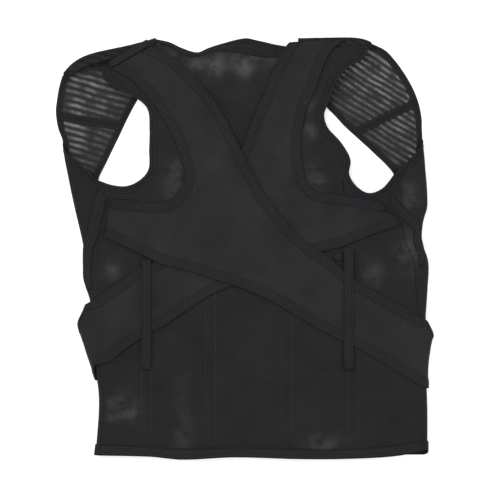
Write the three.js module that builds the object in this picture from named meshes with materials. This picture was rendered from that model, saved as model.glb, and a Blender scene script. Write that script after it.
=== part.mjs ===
// Posture corrector vest, lying face down on a flat surface with its back up.
// X runs across the vest, Y from the hem to the shoulders, Z up. Lengths are in millimetres.
// The near layer is the back, the far layer is the front that lies on the surface.
// The cloth folds at both sides.
import * as THREE from "three";

// Driving sizes of the laid vest
const HALF_WIDTH = 217.5;
const LENGTH = 484;
const SIDE_FOLD_RADIUS = 5.5;
const CROWN = 15;
const SHOULDER_BAND_WIDTH = 9;

// Cloth, tapes and clearances
const WALL = 1.3;
const STRAP_THICKNESS = 1.8;
const BINDING_THICKNESS = 2.2;
const BINDING_WIDTH = 12;
const ARMHOLE_BINDING_WIDTH = 9;
const FRONT_BINDING_WIDTH = 8;
const CASING_THICKNESS = 1.4;
const CASING_WIDTH = 10.5;
const CHANNEL_THICKNESS = 1;
const CHANNEL_WIDTH = 12;
const LABEL_THICKNESS = 0.8;
const LABEL_WIDTH = 34;
const LABEL_LENGTH = 30;
const NECK_BAND_THICKNESS = 1.2;
const HEM_BAND_THICKNESS = 0.9;
const SIDE_TAPE_THICKNESS = 1.2;
const PLACKET_WIDTH = 28;
const PLACKET_THICKNESS = 2;
const CROSS_TAPE_WIDTH = 11;
const GAP = 0.35;

// How much one harness layer lifts the next one, and how gently it comes down beside it
const STACK = BINDING_THICKNESS + GAP;
const ROUND_GAP = 5 * GAP;
const COVER_MARGIN = 10;
const COVER_FALL = 45;
const HEM_LIFT = HEM_BAND_THICKNESS + 1.5 * GAP;

// Grid fineness
const ARC_STEPS = 6;
const NEAR_ROWS = 12;
const UPPER_ROWS = 11;
const SIDE_COLUMNS = 5;
const MIDDLE_COLUMNS = 10;
const FAR_STEPS = 2;
const FRONT_ROWS = 10;
const FRONT_COLUMNS = 6;
const ARM_STEPS = 24;
const LOWER_STEPS = 34;
const SEAM_STEPS = 8;

// Outline of the folded sides
const LEFT_FOLD = [
  { up: -0.01, across: -0.796 }, { up: 0.04, across: -0.783 }, { up: 0.138, across: -0.77 },
  { up: 0.209, across: -0.788 }, { up: 0.268, across: -0.815 }, { up: 0.32, across: -0.823 },
  { up: 0.368, across: -0.815 }, { up: 0.43, across: -0.855 }, { up: 0.49, across: -0.85 },
  { up: 0.535, across: -0.868 }, { up: 0.582, across: -0.893 }, { up: 0.66, across: -0.93 },
  { up: 0.74, across: -0.96 }, { up: 1, across: -0.97 },
];
const RIGHT_FOLD = [
  { up: -0.01, across: 0.962 }, { up: 0.11, across: 0.962 }, { up: 0.209, across: 0.955 },
  { up: 0.32, across: 0.952 }, { up: 0.4, across: 0.963 }, { up: 0.466, across: 0.968 },
  { up: 0.515, across: 0.935 }, { up: 0.56, across: 0.94 }, { up: 0.6, across: 0.963 },
  { up: 0.7, across: 0.95 }, { up: 0.77, across: 0.937 }, { up: 1, across: 0.93 },
];

// How far each harness strap stands out of the body at the side, as a share of the fold radius
const LEFT_BULGE = [
  { up: 0.185, out: 0.0 }, { up: 0.209, out: 0.364 }, { up: 0.237, out: 0.691 }, { up: 0.268, out: 1.0 },
  { up: 0.304, out: 1.727 }, { up: 0.323, out: 2.0 }, { up: 0.35, out: 1.636 },
];
const RIGHT_BULGE = [
  { up: 0.16, out: 0.036 }, { up: 0.209, out: 0.109 }, { up: 0.237, out: 0.364 }, { up: 0.268, out: 0.836 },
  { up: 0.292, out: 1.273 }, { up: 0.31, out: 0.818 }, { up: 0.33, out: 0.545 },
];

// Lower edge of the hem band and its upper edge
const HEM = [
  { across: -0.8, low: 0.008, high: 0.034 }, { across: -0.5, low: 0.005, high: 0.029 },
  { across: -0.33, low: -0.002, high: 0.023 }, { across: -0.05, low: 0.004, high: 0.027 },
  { across: 0.29, low: 0, high: 0.024 }, { across: 0.53, low: 0, high: 0.023 },
  { across: 0.8, low: 0.007, high: 0.032 }, { across: 0.96, low: 0.022, high: 0.046 },
];
const FRONT_HEM = { low: 0.008, high: 0.034 };

// Height of the crowned back along the vest, and of the floor side over the strap tails
const CROWN_ROWS = [
  { up: 0, share: 0.25 }, { up: 0.2, share: 0.8 }, { up: 0.4, share: 1 },
  { up: 0.6, share: 0.55 }, { up: 0.78, share: 0.2 }, { up: 1, share: 0 },
];
const LIFT_ROWS = [
  { up: 0, share: 0 }, { up: 0.035, share: 0 }, { up: 0.14, share: 1 }, { up: 0.2, share: 1 },
  { up: 0.28, share: 1 }, { up: 0.34, share: 1 }, { up: 0.48, share: 0 }, { up: 1, share: 0 },
];

// Soft folds and dips of the back: where, how far they reach across and along, and how high in crowns
const FOLDS = [
  { across: -0.33, up: 0.01, reachAcross: 0.17, reachUp: 0.12, height: -0.147 },
  { across: 0.25, up: 0, reachAcross: 0.2, reachUp: 0.1, height: 0.107 },
  { across: 0.47, up: 0.12, reachAcross: 0.13, reachUp: 0.12, height: -0.133 },
  { across: 0.74, up: 0.05, reachAcross: 0.15, reachUp: 0.15, height: 0.12 },
  { across: 0, up: 0.99, reachAcross: 0.2, reachUp: 0.12, height: -0.2 },
  { across: 0.7, up: 0.45, reachAcross: 0.16, reachUp: 0.08, height: 0.067 },
];

// Upper outline of the back
const TOP_EDGE = [
  { across: -0.746, up: 0.926 }, { across: -0.62, up: 0.949 }, { across: -0.5, up: 0.973 },
  { across: -0.463, up: 0.98 }, { across: -0.42, up: 0.984 }, { across: -0.35, up: 0.971 },
  { across: -0.25, up: 0.961 }, { across: -0.12, up: 0.982 }, { across: 0, up: 0.994 },
  { across: 0.12, up: 0.984 }, { across: 0.233, up: 0.976 }, { across: 0.31, up: 0.976 },
  { across: 0.45, up: 0.976 }, { across: 0.65, up: 0.977 },
];

// Armhole edges of the back, from the shoulder round the underarm to the side fold
const LEFT_ARMHOLE = [
  { across: -0.746, up: 0.931 }, { across: -0.751, up: 0.903 }, { across: -0.661, up: 0.872 },
  { across: -0.561, up: 0.85 }, { across: -0.513, up: 0.827 }, { across: -0.503, up: 0.779 },
  { across: -0.505, up: 0.732 }, { across: -0.508, up: 0.686 }, { across: -0.545, up: 0.663 },
  { across: -0.619, up: 0.646 }, { across: -0.698, up: 0.648 }, { across: -0.778, up: 0.66 },
];
const RIGHT_ARMHOLE = [
  { across: 0.65, up: 0.977 }, { across: 0.64, up: 0.957 }, { across: 0.603, up: 0.941 },
  { across: 0.545, up: 0.926 }, { across: 0.481, up: 0.891 },
  { across: 0.444, up: 0.846 }, { across: 0.418, up: 0.815 }, { across: 0.434, up: 0.786 },
  { across: 0.508, up: 0.748 }, { across: 0.556, up: 0.708 }, { across: 0.55, up: 0.672 },
  { across: 0.598, up: 0.641 }, { across: 0.656, up: 0.629 }, { across: 0.725, up: 0.641 },
  { across: 0.788, up: 0.675 },
];

// Edges of the two crossed harness layers.
// Each runs from the shoulder, or from the underarm, to its waist side.
const OVER = {
  neck: [
    { across: -0.497, up: 0.977 }, { across: -0.397, up: 0.955 }, { across: -0.307, up: 0.924 },
    { across: -0.222, up: 0.884 }, { across: -0.148, up: 0.841 }, { across: -0.085, up: 0.791 },
    { across: 0.026, up: 0.691 }, { across: 0.111, up: 0.622 }, { across: 0.212, up: 0.565 },
    { across: 0.307, up: 0.52 }, { across: 0.45, up: 0.473 }, { across: 0.566, up: 0.428 },
    { across: 0.714, up: 0.39 }, { across: 0.873, up: 0.349 }, { across: 0.921, up: 0.335 },
  ],
  arm: [
    { across: -0.704, up: 0.923 }, { across: -0.608, up: 0.9 }, { across: -0.503, up: 0.85 },
    { across: -0.397, up: 0.779 }, { across: -0.344, up: 0.72 }, { across: -0.317, up: 0.675 },
    { across: -0.333, up: 0.644 }, { across: -0.376, up: 0.618 }, { across: -0.45, up: 0.606 },
    { across: -0.556, up: 0.608 }, { across: -0.714, up: 0.616 },
  ],
  lower: [
    { across: -0.751, up: 0.525 }, { across: -0.582, up: 0.492 }, { across: -0.439, up: 0.461 },
    { across: -0.291, up: 0.444 }, { across: -0.148, up: 0.423 }, { across: -0.026, up: 0.406 },
    { across: 0.132, up: 0.375 }, { across: 0.291, up: 0.333 }, { across: 0.45, up: 0.292 },
    { across: 0.582, up: 0.264 }, { across: 0.714, up: 0.23 }, { across: 0.82, up: 0.202 },
    { across: 0.921, up: 0.173 },
  ],
  seam: [
    { across: -0.233, up: 0.596 }, { across: -0.153, up: 0.561 },
    { across: -0.069, up: 0.52 }, { across: 0.026, up: 0.449 },
  ],
  armShare: 0.57,
  side: 1,
  frontHigh: 0.309,
  frontLow: 0.166,
};
const UNDER = {
  neck: [
    { across: 0.233, up: 0.986 }, { across: 0.19, up: 0.962 }, { across: 0.164, up: 0.936 },
    { across: 0.132, up: 0.903 }, { across: 0.09, up: 0.855 }, { across: 0.048, up: 0.815 },
    { across: -0.021, up: 0.734 }, { across: -0.101, up: 0.66 }, { across: -0.196, up: 0.589 },
    { across: -0.312, up: 0.523 }, { across: -0.45, up: 0.473 }, { across: -0.556, up: 0.454 },
    { across: -0.661, up: 0.42 }, { across: -0.767, up: 0.387 }, { across: -0.794, up: 0.375 },
  ],
  arm: [
    { across: 0.529, up: 0.993 }, { across: 0.46, up: 0.967 }, { across: 0.418, up: 0.933 },
    { across: 0.37, up: 0.874 }, { across: 0.323, up: 0.824 }, { across: 0.296, up: 0.755 },
    { across: 0.302, up: 0.696 }, { across: 0.333, up: 0.651 }, { across: 0.386, up: 0.632 },
    { across: 0.503, up: 0.625 }, { across: 0.64, up: 0.614 }, { across: 0.741, up: 0.606 },
  ],
  lower: [
    { across: 0.815, up: 0.551 }, { across: 0.714, up: 0.537 }, { across: 0.608, up: 0.52 },
    { across: 0.503, up: 0.501 }, { across: 0.397, up: 0.489 }, { across: 0.238, up: 0.463 },
    { across: 0.053, up: 0.43 }, { across: -0.169, up: 0.39 }, { across: -0.291, up: 0.356 },
    { across: -0.397, up: 0.323 }, { across: -0.503, up: 0.295 }, { across: -0.608, up: 0.266 },
    { across: -0.714, up: 0.228 },
  ],
  seam: [
    { across: 0.212, up: 0.615 }, { across: 0.143, up: 0.575 },
    { across: 0.069, up: 0.523 }, { across: -0.005, up: 0.468 },
  ],
  armShare: 0.63,
  side: -1,
  frontHigh: 0.318,
  frontLow: 0.185,
};

// Front straps: one row for each section from the bottom end, sewn inside the body, to the shoulder fold
const LEFT_FRONT_STRAP = {
  rows: [
    { inner: { across: -0.735, up: 0.523 }, outer: { across: -0.835, up: 0.523 }, inside: 1 },
    { inner: { across: -0.762, up: 0.577 }, outer: { across: -0.868, up: 0.585 }, inside: 1 },
    { inner: { across: -0.775, up: 0.637 }, outer: { across: -0.9, up: 0.651 }, inside: 1 },
    { inner: { across: -0.772, up: 0.665 }, outer: { across: -0.926, up: 0.696 }, inside: 1 },
    { inner: { across: -0.741, up: 0.694 }, outer: { across: -0.942, up: 0.736 }, inside: 1 },
    { inner: { across: -0.709, up: 0.724 }, outer: { across: -0.966, up: 0.757 }, inside: 0 },
    { inner: { across: -0.672, up: 0.758 }, outer: { across: -0.988, up: 0.784 }, inside: 0 },
    { inner: { across: -0.63, up: 0.798 }, outer: { across: -1, up: 0.822 }, inside: 0 },
    { inner: { across: -0.593, up: 0.831 }, outer: { across: -0.992, up: 0.857 }, inside: 0 },
    { inner: { across: -0.55, up: 0.867 }, outer: { across: -0.981, up: 0.884 }, inside: 0 },
    { inner: { across: -0.508, up: 0.917 }, outer: { across: -0.966, up: 0.907 }, inside: 0 },
  ],
  foldInner: { across: -0.471, up: 0.998 },
  foldOuter: { across: -0.958, up: 0.922 },
  tapeRow: 6.75,
};
const RIGHT_FRONT_STRAP = {
  rows: [
    { inner: { across: 0.735, up: 0.523 }, outer: { across: 0.894, up: 0.527 }, inside: 1 },
    { inner: { across: 0.757, up: 0.584 }, outer: { across: 0.9, up: 0.584 }, inside: 1 },
    { inner: { across: 0.778, up: 0.637 }, outer: { across: 0.905, up: 0.637 }, inside: 1 },
    { inner: { across: 0.788, up: 0.67 }, outer: { across: 0.922, up: 0.696 }, inside: 1 },
    { inner: { across: 0.746, up: 0.696 }, outer: { across: 0.922, up: 0.75 }, inside: 1 },
    { inner: { across: 0.698, up: 0.717 }, outer: { across: 0.935, up: 0.785 }, inside: 0 },
    { inner: { across: 0.646, up: 0.739 }, outer: { across: 0.934, up: 0.806 }, inside: 0 },
    { inner: { across: 0.582, up: 0.765 }, outer: { across: 0.921, up: 0.838 }, inside: 0 },
    { inner: { across: 0.524, up: 0.789 }, outer: { across: 0.894, up: 0.872 }, inside: 0 },
    { inner: { across: 0.471, up: 0.815 }, outer: { across: 0.852, up: 0.907 }, inside: 0 },
    { inner: { across: 0.423, up: 0.838 }, outer: { across: 0.799, up: 0.941 }, inside: 0 },
    { inner: { across: 0.365, up: 0.879 }, outer: { across: 0.746, up: 0.967 }, inside: 0 },
    { inner: { across: 0.323, up: 0.922 }, outer: { across: 0.693, up: 0.98 }, inside: 0 },
  ],
  foldInner: { across: 0.28, up: 0.998 },
  foldOuter: { across: 0.661, up: 0.999 },
  tapeRow: 7.25,
};

// Tapes over the side seams, from the armhole down
const LEFT_TAPE = [
  { outer: { across: -0.772, up: 0.637 }, inner: { across: -0.73, up: 0.618 } },
  { outer: { across: -0.804, up: 0.601 }, inner: { across: -0.743, up: 0.587 } },
  { outer: { across: -0.831, up: 0.542 }, inner: { across: -0.772, up: 0.527 } },
  { outer: { across: -0.85, up: 0.513 }, inner: { across: -0.794, up: 0.504 } },
  { outer: { across: -0.855, up: 0.466 }, inner: { across: -0.81, up: 0.466 } },
  { outer: { across: -0.85, up: 0.43 }, inner: { across: -0.81, up: 0.43 } },
  { outer: { across: -0.835, up: 0.4 }, inner: { across: -0.805, up: 0.4 } },
];
const RIGHT_TAPE = [
  { outer: { across: 0.772, up: 0.629 }, inner: { across: 0.765, up: 0.598 } },
  { outer: { across: 0.82, up: 0.606 }, inner: { across: 0.797, up: 0.58 } },
  { outer: { across: 0.868, up: 0.584 }, inner: { across: 0.84, up: 0.56 } },
  { outer: { across: 0.92, up: 0.561 }, inner: { across: 0.882, up: 0.542 } },
  { outer: { across: 0.931, up: 0.523 }, inner: { across: 0.889, up: 0.508 } },
  { outer: { across: 0.945, up: 0.494 }, inner: { across: 0.915, up: 0.48 } },
  { outer: { across: 0.945, up: 0.461 }, inner: { across: 0.921, up: 0.451 } },
];

// Neck band: outer and inner edge from the left shoulder peak to the right strap
const NECK_BAND = [
  { across: -0.466, high: 0.993, low: 0.982 }, { across: -0.397, high: 0.986, low: 0.977 },
  { across: -0.33, high: 0.972, low: 0.957 }, { across: -0.25, high: 0.962, low: 0.952 },
  { across: -0.196, high: 0.972, low: 0.96 }, { across: -0.122, high: 0.983, low: 0.965 },
  { across: 0, high: 0.996, low: 0.959 }, { across: 0.063, high: 0.991, low: 0.953 },
  { across: 0.122, high: 0.985, low: 0.95 }, { across: 0.165, high: 0.98, low: 0.95 },
];

// Bone casings on the straps and bone channels inside the back
const CASINGS = [
  { name: "left_bone_casing", across: -0.518, high: 0.472, low: 0.212, level: 2 },
  { name: "right_bone_casing", across: 0.545, high: 0.498, low: 0.212, level: 3 },
  { name: "right_casing_end", across: 0.49, high: 0.488, low: 0.468, level: 1 },
];
const CHANNELS = [
  { name: "bone_channel_1", across: -0.518 },
  { name: "bone_channel_2", across: -0.18 },
  { name: "bone_channel_3", across: 0.22 },
  { name: "bone_channel_4", across: 0.57 },
];
const CHANNEL_HIGH = 0.45;
const CHANNEL_LOW = 0.04;
const HEM_INSET = 0.006;
const LABEL_PLACE = { across: -0.65, up: 0.12 };
const FRONT_TOP = [
  { aside: 0, up: 0.38 }, { aside: 0.3, up: 0.385 }, { aside: 0.62, up: 0.41 },
  { aside: 0.85, up: 0.47 }, { aside: 1, up: 0.6 },
];
const FAR_SEAM = 0.07;
const FAR_TOP_DROP = 0.05;
const HEM_LIFT_SHARE = 0.15;
const TAIL_SHARE = 0.62;

// How far in from the fold the side seams of the back lie, and where the underarm corners and side tops are
const SIDE_SEAM = [
  { up: 0, inward: 0 }, { up: 0.3, inward: 0 }, { up: 0.4, inward: 0.037 },
  { up: 0.5, inward: 0.06 }, { up: 0.66, inward: 0.127 }, { up: 1, inward: 0.127 },
];
const BODY_SIDES = [
  { name: "left", side: -1, armhole: LEFT_ARMHOLE, sideTop: 0.742 },
  { name: "right", side: 1, armhole: RIGHT_ARMHOLE, sideTop: 0.765 },
];

// Materials
const cloth = (name, color, roughness) => {
  const material = new THREE.MeshStandardMaterial({ color, roughness, metalness: 0 });
  material.name = name;
  return material;
};
const MESH_CLOTH = () => cloth("mesh_cloth", 0x2b2b2e, 0.85);
const STRAP_CLOTH = () => cloth("strap_cloth", 0x262628, 0.95);
const TAPE_CLOTH = () => cloth("tape_cloth", 0x1e1e23, 0.8);
const LABEL_CLOTH = () => cloth("label_cloth", 0x58585c, 0.6);

// Helpers for tables
const place = (share) => new THREE.Vector2(share.across * HALF_WIDTH, share.up * LENGTH);
const smooth = (value) => {
  const share = THREE.MathUtils.clamp(value, 0, 1);
  return share * share * (3 - 2 * share);
};

// A smooth line through table rows: the slope at each row is the mean of its neighbours' slopes
function lineThrough(rows, from, to) {
  const slope = (index) => {
    const a = rows[Math.max(index - 1, 0)];
    const b = rows[Math.min(index + 1, rows.length - 1)];
    return (b[to] - a[to]) / (b[from] - a[from]);
  };
  return (value) => {
    const key = THREE.MathUtils.clamp(value, rows[0][from], rows[rows.length - 1][from]);
    let index = 0;
    while (index < rows.length - 2 && key > rows[index + 1][from]) index += 1;
    const a = rows[index];
    const b = rows[index + 1];
    const step = b[from] - a[from];
    const t = (key - a[from]) / step;
    const rise = (2 * t ** 3 - 3 * t ** 2 + 1) * a[to] + (3 * t ** 2 - 2 * t ** 3) * b[to];
    const bend = (t ** 3 - 2 * t ** 2 + t) * slope(index) + (t ** 3 - t ** 2) * slope(index + 1);
    return rise + step * bend;
  };
}

const shares = {
  leftFold: lineThrough(LEFT_FOLD, "up", "across"),
  rightFold: lineThrough(RIGHT_FOLD, "up", "across"),
  leftBulge: lineThrough(LEFT_BULGE, "up", "out"),
  rightBulge: lineThrough(RIGHT_BULGE, "up", "out"),
  hemLow: lineThrough(HEM, "across", "low"),
  hemHigh: lineThrough(HEM, "across", "high"),
  crown: lineThrough(CROWN_ROWS, "up", "share"),
  lift: lineThrough(LIFT_ROWS, "up", "share"),
  top: lineThrough(TOP_EDGE, "across", "up"),
  frontTop: lineThrough(FRONT_TOP, "aside", "up"),
  sideSeam: lineThrough(SIDE_SEAM, "up", "inward"),
  neckHigh: lineThrough(NECK_BAND, "across", "high"),
  neckLow: lineThrough(NECK_BAND, "across", "low"),
};

// Surface of the laid cloth. A spot is a place on it: near the back, round a side fold or on the floor side.
const foldLine = (side, y) => HALF_WIDTH * (side < 0 ? shares.leftFold : shares.rightFold)(y / LENGTH);
const foldStart = (side, y) => foldLine(side, y) - side * SIDE_FOLD_RADIUS;
const bulgeShare = (side, y) => (side < 0 ? shares.leftBulge : shares.rightBulge)(y / LENGTH);
const strapBulge = (side, y) => SIDE_FOLD_RADIUS * Math.max(0, bulgeShare(side, y));
const hemLift = (y) => HEM_LIFT * (1 - smooth((y / LENGTH - FRONT_HEM.high) / HEM_LIFT_SHARE));
const floorLift = (y) => STACK * Math.max(0, shares.lift(y / LENGTH)) + hemLift(y);
const seamInward = (y) => HALF_WIDTH * shares.sideSeam(y / LENGTH);

function nearHeight(x, y) {
  const left = foldStart(-1, y);
  const right = foldStart(1, y);
  const u = THREE.MathUtils.clamp((2 * x - left - right) / (right - left), -1, 1);
  const rim = (1 - u * u) ** 2;
  let height = floorLift(y) + 2 * SIDE_FOLD_RADIUS + CROWN * shares.crown(y / LENGTH) * rim;
  for (const fold of FOLDS) {
    const across = (x / HALF_WIDTH - fold.across) / fold.reachAcross;
    const along = (y / LENGTH - fold.up) / fold.reachUp;
    height += CROWN * fold.height * Math.exp(-across * across - along * along) * (1 - u ** 4);
  }
  return height;
}

const nearSpot = (x, y) => ({ x, y });
const sideSpot = (side, y, turn, inward = 0, out = 0) => ({ side, y, turn, inward, out });

// Turns a spot and a height over the cloth's outer face into a point
function seat(spot, offset) {
  if (spot.side === undefined) {
    return new THREE.Vector3(spot.x, spot.y, nearHeight(spot.x, spot.y) + offset);
  }
  const { side, y, turn, inward, out } = spot;
  const reach = SIDE_FOLD_RADIUS + offset;
  const x = foldStart(side, y) + side * (out + reach * Math.sin(turn) - inward);
  return new THREE.Vector3(x, y, floorLift(y) + SIDE_FOLD_RADIUS + reach * Math.cos(turn));
}

// A closed cloth piece over a grid of spots, between a lower and an upper offset.
// holds(row, column) says which cells of the grid are cloth. A ring closes on its first column.
function clothShell(rows, columns, pointAt, holds = () => true, ring = false) {
  const positions = [];
  const indices = [];
  const across = ring ? columns : columns + 1;
  const vertex = (row, column, face) => ((face * (rows + 1)) + row) * across + (column % across);
  for (const face of [0, 1]) {
    for (let row = 0; row <= rows; row += 1) {
      for (let column = 0; column < across; column += 1) {
        positions.push(...pointAt(row, column, face).toArray());
      }
    }
  }
  const quad = (a, b, c, d) => indices.push(a, b, c, a, c, d);
  const isCloth = (row, column) => {
    const wrapped = ring ? (column + columns) % columns : column;
    return row >= 0 && row < rows && wrapped >= 0 && wrapped < columns && holds(row, wrapped);
  };
  for (let row = 0; row < rows; row += 1) {
    for (let column = 0; column < columns; column += 1) {
      if (!isCloth(row, column)) continue;
      const top = [[row, column], [row, column + 1], [row + 1, column + 1], [row + 1, column]];
      const [a, b, c, d] = top.map(([r, k]) => vertex(r, k, 1));
      const [e, f, g, h] = top.map(([r, k]) => vertex(r, k, 0));
      quad(a, b, c, d);
      quad(e, h, g, f);
      if (!isCloth(row - 1, column)) quad(a, e, f, b);
      if (!isCloth(row + 1, column)) quad(c, g, h, d);
      if (!isCloth(row, column - 1)) quad(d, h, e, a);
      if (!isCloth(row, column + 1)) quad(b, f, g, c);
    }
  }
  return orientedGeometry(positions, indices);
}

// Keeps the used points only, and turns the faces outwards
function orientedGeometry(positions, indices) {
  const used = [...new Set(indices)].sort((a, b) => a - b);
  const order = new Map(used.map((old, fresh) => [old, fresh]));
  const kept = used.flatMap((old) => positions.slice(3 * old, 3 * old + 3));
  const faces = indices.map((old) => order.get(old));
  const corner = (index) => new THREE.Vector3().fromArray(kept, 3 * index);
  let volume = 0;
  for (let i = 0; i < faces.length; i += 3) {
    volume += corner(faces[i]).dot(corner(faces[i + 1]).cross(corner(faces[i + 2])));
  }
  if (volume < 0) faces.reverse();
  const geometry = new THREE.BufferGeometry();
  geometry.setAttribute("position", new THREE.Float32BufferAttribute(kept, 3));
  geometry.setIndex(faces);
  geometry.computeVertexNormals();
  return geometry;
}

// Paths in the plan of the near layer
function smoothPath(tableRows, steps) {
  const points = tableRows.map((share) => new THREE.Vector3(...place(share), 0));
  const curve = new THREE.CatmullRomCurve3(points, false, "centripetal");
  return curve.getSpacedPoints(steps).map((point) => new THREE.Vector2(point.x, point.y));
}

function pathNormals(path) {
  return path.map((point, index) => {
    const ahead = path[Math.min(index + 1, path.length - 1)];
    const behind = path[Math.max(index - 1, 0)];
    const along = ahead.clone().sub(behind).normalize();
    return new THREE.Vector2(-along.y, along.x);
  });
}

// Moves a path sideways, to the left of its direction when the distance is positive
function insetPath(path, distance) {
  const normals = pathNormals(path);
  return path.map((point, index) => point.clone().addScaledVector(normals[index], distance));
}

// An inset path whose first point slides along the line that the piece is cut off on
function insetFrom(path, distance, cutLine) {
  const along = path[1].clone().sub(path[0]).normalize();
  const inset = insetPath(path, distance);
  inset[0] = path[0].clone().addScaledVector(cutLine, Math.abs(distance / along.cross(cutLine)));
  return inset;
}

// The same path with evenly spaced points
function resample(path, steps) {
  const lengths = [0];
  for (let i = 1; i < path.length; i += 1) lengths.push(lengths[i - 1] + path[i].distanceTo(path[i - 1]));
  const total = lengths[lengths.length - 1];
  return Array.from({ length: steps + 1 }, (_, step) => {
    const reach = (total * step) / steps;
    let index = 1;
    while (index < path.length - 1 && lengths[index] < reach) index += 1;
    const share = (reach - lengths[index - 1]) / (lengths[index] - lengths[index - 1]);
    return path[index - 1].clone().lerp(path[index], share);
  });
}

// Distance of a place outside a closed outline, zero inside
function distanceOutside(outline, x, y) {
  let inside = false;
  let nearest = Infinity;
  for (let i = 0, j = outline.length - 1; i < outline.length; j = i, i += 1) {
    const a = outline[j];
    const b = outline[i];
    if (a.y > y !== b.y > y && x < ((b.x - a.x) * (y - a.y)) / (b.y - a.y) + a.x) inside = !inside;
    const edge = b.clone().sub(a);
    const reach = THREE.MathUtils.clamp(((x - a.x) * edge.x + (y - a.y) * edge.y) / edge.lengthSq(), 0, 1);
    nearest = Math.min(nearest, Math.hypot(a.x + reach * edge.x - x, a.y + reach * edge.y - y));
  }
  return inside ? 0 : nearest;
}

const harnessOutline = (harness) => [
  ...smoothPath(harness.neck, LOWER_STEPS),
  ...smoothPath(harness.lower, LOWER_STEPS).reverse(),
  ...smoothPath(harness.arm, ARM_STEPS).reverse(),
];
const underOutline = harnessOutline(UNDER);
const overOutline = harnessOutline(OVER);
const cover = (outline, x, y) => 1 - smooth((distanceOutside(outline, x, y) - COVER_MARGIN) / COVER_FALL);

// Height of a layer's lower face over the back: 1 lies on the cloth, 2 on the under harness, 3 on both
function levelOffset(level, spot) {
  if (spot.side !== undefined || level === 1) return GAP;
  const second = GAP + STACK * cover(underOutline, spot.x, spot.y);
  return level === 2 ? second : second + STACK * cover(overOutline, spot.x, spot.y);
}

// The vest
const vest = new THREE.Group();
function add(name, geometry, material) {
  const mesh = new THREE.Mesh(geometry, material);
  mesh.name = name;
  vest.add(mesh);
}

// A layer piece between two paths of spots, with a number of steps across
function addLayer(name, first, second, steps, level, thickness, material) {
  const middle = (a, b, share) => {
    const y = a.y + (b.y - a.y) * share;
    if (a.side !== undefined) return { ...a, y, out: strapBulge(a.side, y) };
    return nearSpot(a.x + (b.x - a.x) * share, y);
  };
  const pointAt = (row, column, face) => {
    const spot = middle(first[row], second[row], column / steps);
    return seat(spot, levelOffset(level, spot) + face * thickness);
  };
  add(name, clothShell(first.length - 1, steps, pointAt), material);
}

// Spots of one edge as it turns round the side and runs back below to the front placket
function roundSide(side, fromY, toY) {
  const spots = [];
  for (let step = 0; step <= ARC_STEPS; step += 1) {
    const y = fromY + (toY - fromY) * smooth((step + 0.5) / (ARC_STEPS * 0.5));
    spots.push(sideSpot(side, y, (Math.PI * step) / ARC_STEPS, 0, strapBulge(side, y)));
  }
  const reach = HALF_WIDTH * TAIL_SHARE;
  for (const share of [0.2, 0.6, 1]) {
    spots.push(sideSpot(side, toY, Math.PI, reach * share, strapBulge(side, toY)));
  }
  return spots;
}

const asSpots = (path) => path.map((point) => nearSpot(point.x, point.y));

// One harness layer: a shoulder-to-waist strap, an underarm wing and the tapes that bind their edges
function addHarness(names, harness, level) {
  const turn = harness.side;
  const armCorner = Math.round(harness.armShare * ARM_STEPS);
  const lowerCorner = ARM_STEPS - armCorner + SEAM_STEPS - 1;
  const neck = smoothPath(harness.neck, armCorner + SEAM_STEPS + LOWER_STEPS - lowerCorner);
  const arm = smoothPath(harness.arm, ARM_STEPS);
  const lower = smoothPath(harness.lower, LOWER_STEPS);
  const inward = { neck: -turn, arm: turn, lower: turn };
  const clothEdge = BINDING_WIDTH + 2 * GAP;
  const endLine = arm[0].clone().sub(neck[0]).normalize();
  const armInset = insetFrom(arm, inward.arm * clothEdge, endLine.clone().negate());
  const lowerInset = insetPath(lower, inward.lower * clothEdge);
  const neckInset = insetFrom(neck, inward.neck * clothEdge, endLine);
  const high = harness.frontHigh * LENGTH;
  const low = harness.frontLow * LENGTH;
  const end = (path) => path[path.length - 1].y;

  const seamEnds = [armInset[armCorner], lowerInset[lowerCorner]];
  const seam = resample([seamEnds[0], ...harness.seam.map(place), seamEnds[1]], SEAM_STEPS);
  const strapSide = insetPath(seam, turn * GAP).slice(1, -1);
  const wingSide = insetPath(seam, -turn * GAP).slice(1, -1);

  const strapArm = [...armInset.slice(0, armCorner + 1), ...strapSide, ...lowerInset.slice(lowerCorner)];
  const strapRound = [
    roundSide(turn, end(neckInset) - ROUND_GAP, high - clothEdge - ROUND_GAP),
    roundSide(turn, end(lowerInset) + ROUND_GAP, low + clothEdge + ROUND_GAP),
  ];
  const strapEdges = [neckInset, strapArm].map((path, index) => [...asSpots(path), ...strapRound[index]]);
  addLayer(names.strap, ...strapEdges, 4, level, STRAP_THICKNESS, STRAP_CLOTH());

  const wingTop = [...armInset.slice(armCorner + 1).reverse(), ...wingSide];
  const wingBottom = lowerInset.slice(0, lowerCorner);
  addLayer(names.wing, asSpots(wingTop), asSpots(wingBottom), 3, level, STRAP_THICKNESS, STRAP_CLOTH());

  const neckInner = insetFrom(neck, inward.neck * BINDING_WIDTH, endLine);
  const lowerInner = insetPath(lower, inward.lower * BINDING_WIDTH);
  const bindings = [
    { name: names.neckBinding, path: neck, inner: neckInner, far: high, farStep: -1 },
    { name: names.lowerBinding, path: lower, inner: lowerInner, far: low, farStep: 1 },
  ];
  for (const tape of bindings) {
    const inner = tape.inner;
    const outerRound = roundSide(turn, end(tape.path), tape.far);
    const innerRound = roundSide(turn, end(inner), tape.far + tape.farStep * BINDING_WIDTH);
    addLayer(tape.name, [...asSpots(tape.path), ...outerRound], [...asSpots(inner), ...innerRound],
      1, level, BINDING_THICKNESS, TAPE_CLOTH());
  }
  const armInner = insetFrom(arm, inward.arm * BINDING_WIDTH, endLine.clone().negate());
  addLayer(names.armBinding, asSpots(arm), asSpots(armInner), 1, level, BINDING_THICKNESS, TAPE_CLOTH());
}

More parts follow.
